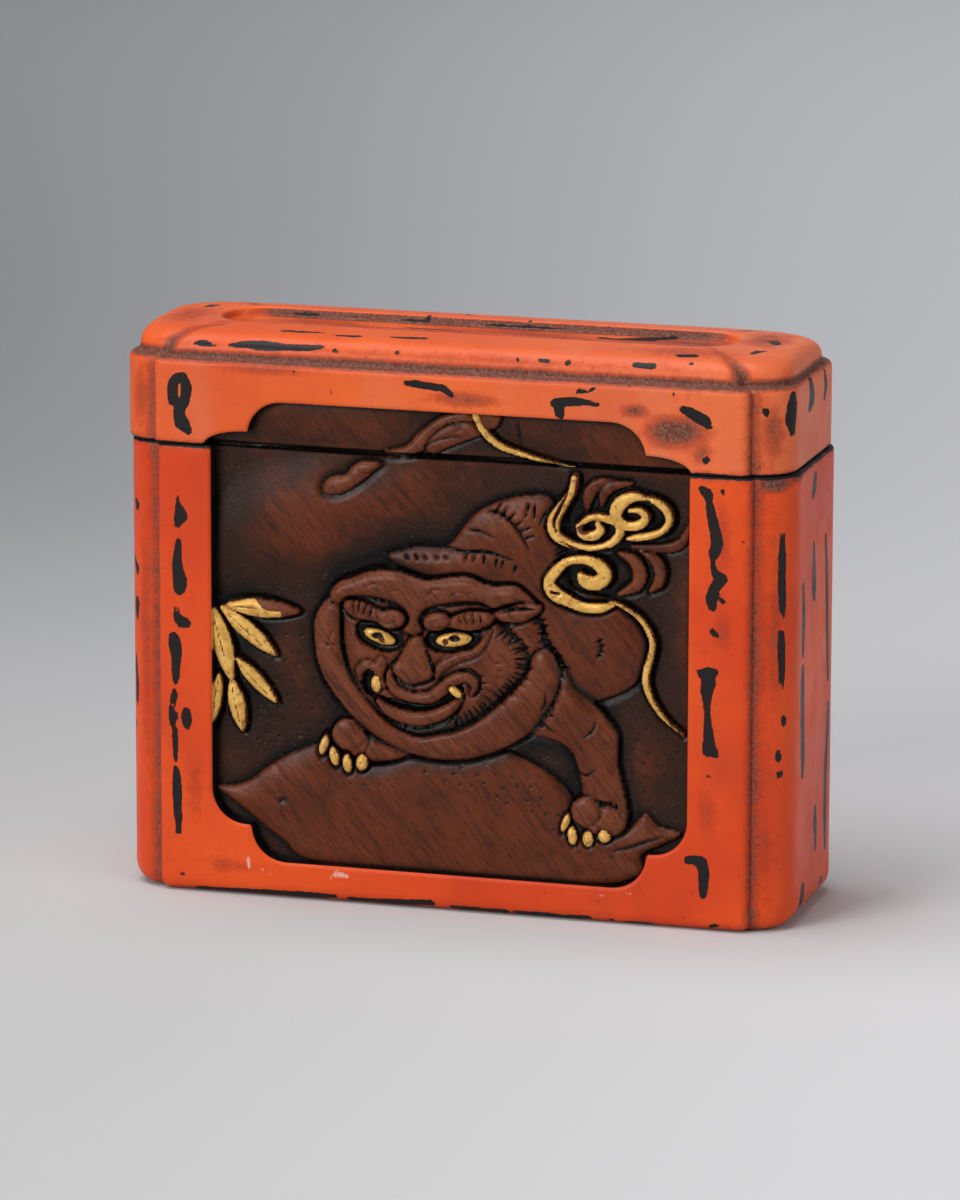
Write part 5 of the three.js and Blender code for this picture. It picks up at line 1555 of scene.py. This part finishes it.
wood = carved_wood("carved_wood")
inside_lacquer = dark_inside("dark_inside")
case = sleeve("tobacco_box_case", case_rings())
case_coat = lacquer("case_lacquer", (0.78, 0.09, 0.012), (0.62, 0.052, 0.009), (0.42, 0.05, 0.016), 0.0)
finish_piece(case, case_middle, "case", (case_coat, wood, inside_lacquer))
lid = sleeve("tobacco_box_lid", lid_rings())
# The lid's lacquer is paler and more orange than the case's, partly as painted light on the higher part
lid_coat = lacquer("lid_lacquer", (0.83, 0.145, 0.028), (0.7, 0.098, 0.022), (0.6, 0.21, 0.13), 0.22)
finish_piece(lid, lid_middle, "lid", (lid_coat, wood, inside_lacquer))


# Floor and backdrop: one grey sweep with painted light, paler to the right, whose far tones lie a hand behind
# the box
floor_tones = ((0.52, 0.52, 0.515), (0.68, 0.68, 0.68))
far_tones = ((0.28, 0.284, 0.29), (0.64, 0.64, 0.65))
top_tones = ((0.6, 0.608, 0.62), (0.97, 0.97, 0.98))
floor_front = -1400
bend_start = 1150
bend_radius = 400
sweep_top = 1500
sweep_half_width = 1600
sweep_rows = 48


def studio_paper():
    material, tree, shader = new_material("studio_paper")
    where = node(tree, "ShaderNodeTexCoord", {}).outputs["Object"]
    parts = node(tree, "ShaderNodeSeparateXYZ", {"Vector": where}).outputs
    along = plus(tree, parts["Y"], parts["Z"])
    across = plus(tree, parts["X"], times(tree, parts["Y"], 0.29))
    # Painted light and shade: darker to the left, paler to the right, and changing from the floor to the far
    # and top tones
    paper = tint(tree, between(tree, across, -0.1, 0.1), *floor_tones)
    far_tone = tint(tree, between(tree, across, -0.14, 0.14), *far_tones)
    top_tone = tint(tree, between(tree, across, -0.14, 0.14), *top_tones)
    paper = tint(tree, between(tree, along, -0.04, 0.26), paper, far_tone)
    paper = tint(tree, between(tree, along, 0.25, 0.95), paper, top_tone)
    tree.links.new(paper, shader.inputs["Base Color"])
    shader.inputs["Specular IOR Level"].default_value = 0.1
    shader.inputs["Roughness"].default_value = 0.9
    return material


def studio_sweep():
    piece, column, row = new_grid("studio_sweep", 2, sweep_rows)
    floor_length = bend_start - floor_front
    bend_length = bend_radius * math.pi / 2
    run = row / sweep_rows * (floor_length + bend_length + sweep_top - bend_radius)
    bend = np.clip((run - floor_length) / bend_radius, 0, math.pi / 2)
    up = np.clip(run - floor_length - bend_length, 0, None)
    y = floor_front + np.minimum(run, floor_length) + bend_radius * np.sin(bend)
    z = bend_radius * (1 - np.cos(bend)) + up
    lay(piece, np.column_stack(((column - 1) * sweep_half_width, y, z)))
    bpy.ops.object.shade_smooth()
    piece.data.materials.append(studio_paper())


def stand(thing, axes, place):
    """Puts a light or a camera in its place, with its axes to the right, up and backwards."""
    rows = [[*row, at] for row, at in zip(np.column_stack(axes), place)]
    thing.matrix_world = Matrix(rows + [[0, 0, 0, 1]])


def soft_light(name, place, aim, size, power, colour=(1, 1, 1)):
    data = bpy.data.lights.new(name, "AREA")
    data.shape = "RECTANGLE"
    data.size, data.size_y = size[0] * mm, size[1] * mm
    data.energy = power
    data.color = colour
    light = bpy.data.objects.new(name, data)
    bpy.context.collection.objects.link(light)
    place, aim = np.array(place, float) * mm, np.array(aim, float) * mm
    back_way = (place - aim) / np.linalg.norm(place - aim)
    right = np.cross((0, 0, 1), back_way)
    right /= np.linalg.norm(right)
    stand(light, (right, np.cross(back_way, right), back_way), place)


def photo_camera():
    """The camera, as fitted to the box's corners and seam."""
    yaw, pitch, roll = math.radians(16.42), math.radians(12.63), math.radians(0.12)
    distance, aim_height, shift_right, shift_up = 950, 37, -0.1, 1.53
    focal_pixels, picture_height, sensor = 7232, 1200, 36
    back_way = np.array((math.sin(yaw) * math.cos(pitch), -math.cos(yaw) * math.cos(pitch), math.sin(pitch)))
    right = np.array((math.cos(yaw), math.sin(yaw), 0))
    up = np.cross(back_way, right)
    turned_right = math.cos(roll) * right + math.sin(roll) * up
    turned_up = math.cos(roll) * up - math.sin(roll) * right
    place = np.array((0, 0, aim_height)) + back_way * distance + right * shift_right + up * shift_up
    data = bpy.data.cameras.new("photo_camera")
    data.sensor_width = data.sensor_height = sensor
    data.sensor_fit = "VERTICAL"
    data.lens = focal_pixels / picture_height * sensor
    data.clip_start, data.clip_end = 0.05, 20
    camera = bpy.data.objects.new("photo_camera", data)
    bpy.context.collection.objects.link(camera)
    stand(camera, (turned_right, turned_up, back_way), place * mm)
    bpy.context.scene.camera = camera


def studio_air():
    """A weak even light from all round."""
    world = bpy.data.worlds.new("studio_air")
    world.use_nodes = True
    inputs = world.node_tree.nodes["Background"].inputs
    inputs["Color"].default_value = (0.9, 0.92, 1, 1)
    inputs["Strength"].default_value = 0.12
    bpy.context.scene.world = world


light_aim = (0, 0, 40)
studio_sweep()
photo_camera()
soft_light("overhead", (-200, -100, 900), light_aim, (800, 700), 7, (0.98, 0.98, 1))
soft_light("front_left", (-600, -1000, 480), light_aim, (600, 600), 9)
soft_light("right_fill", (900, -350, 350), light_aim, (500, 700), 2.5)
studio_air()
bpy.context.scene.view_settings.view_transform = "Standard"
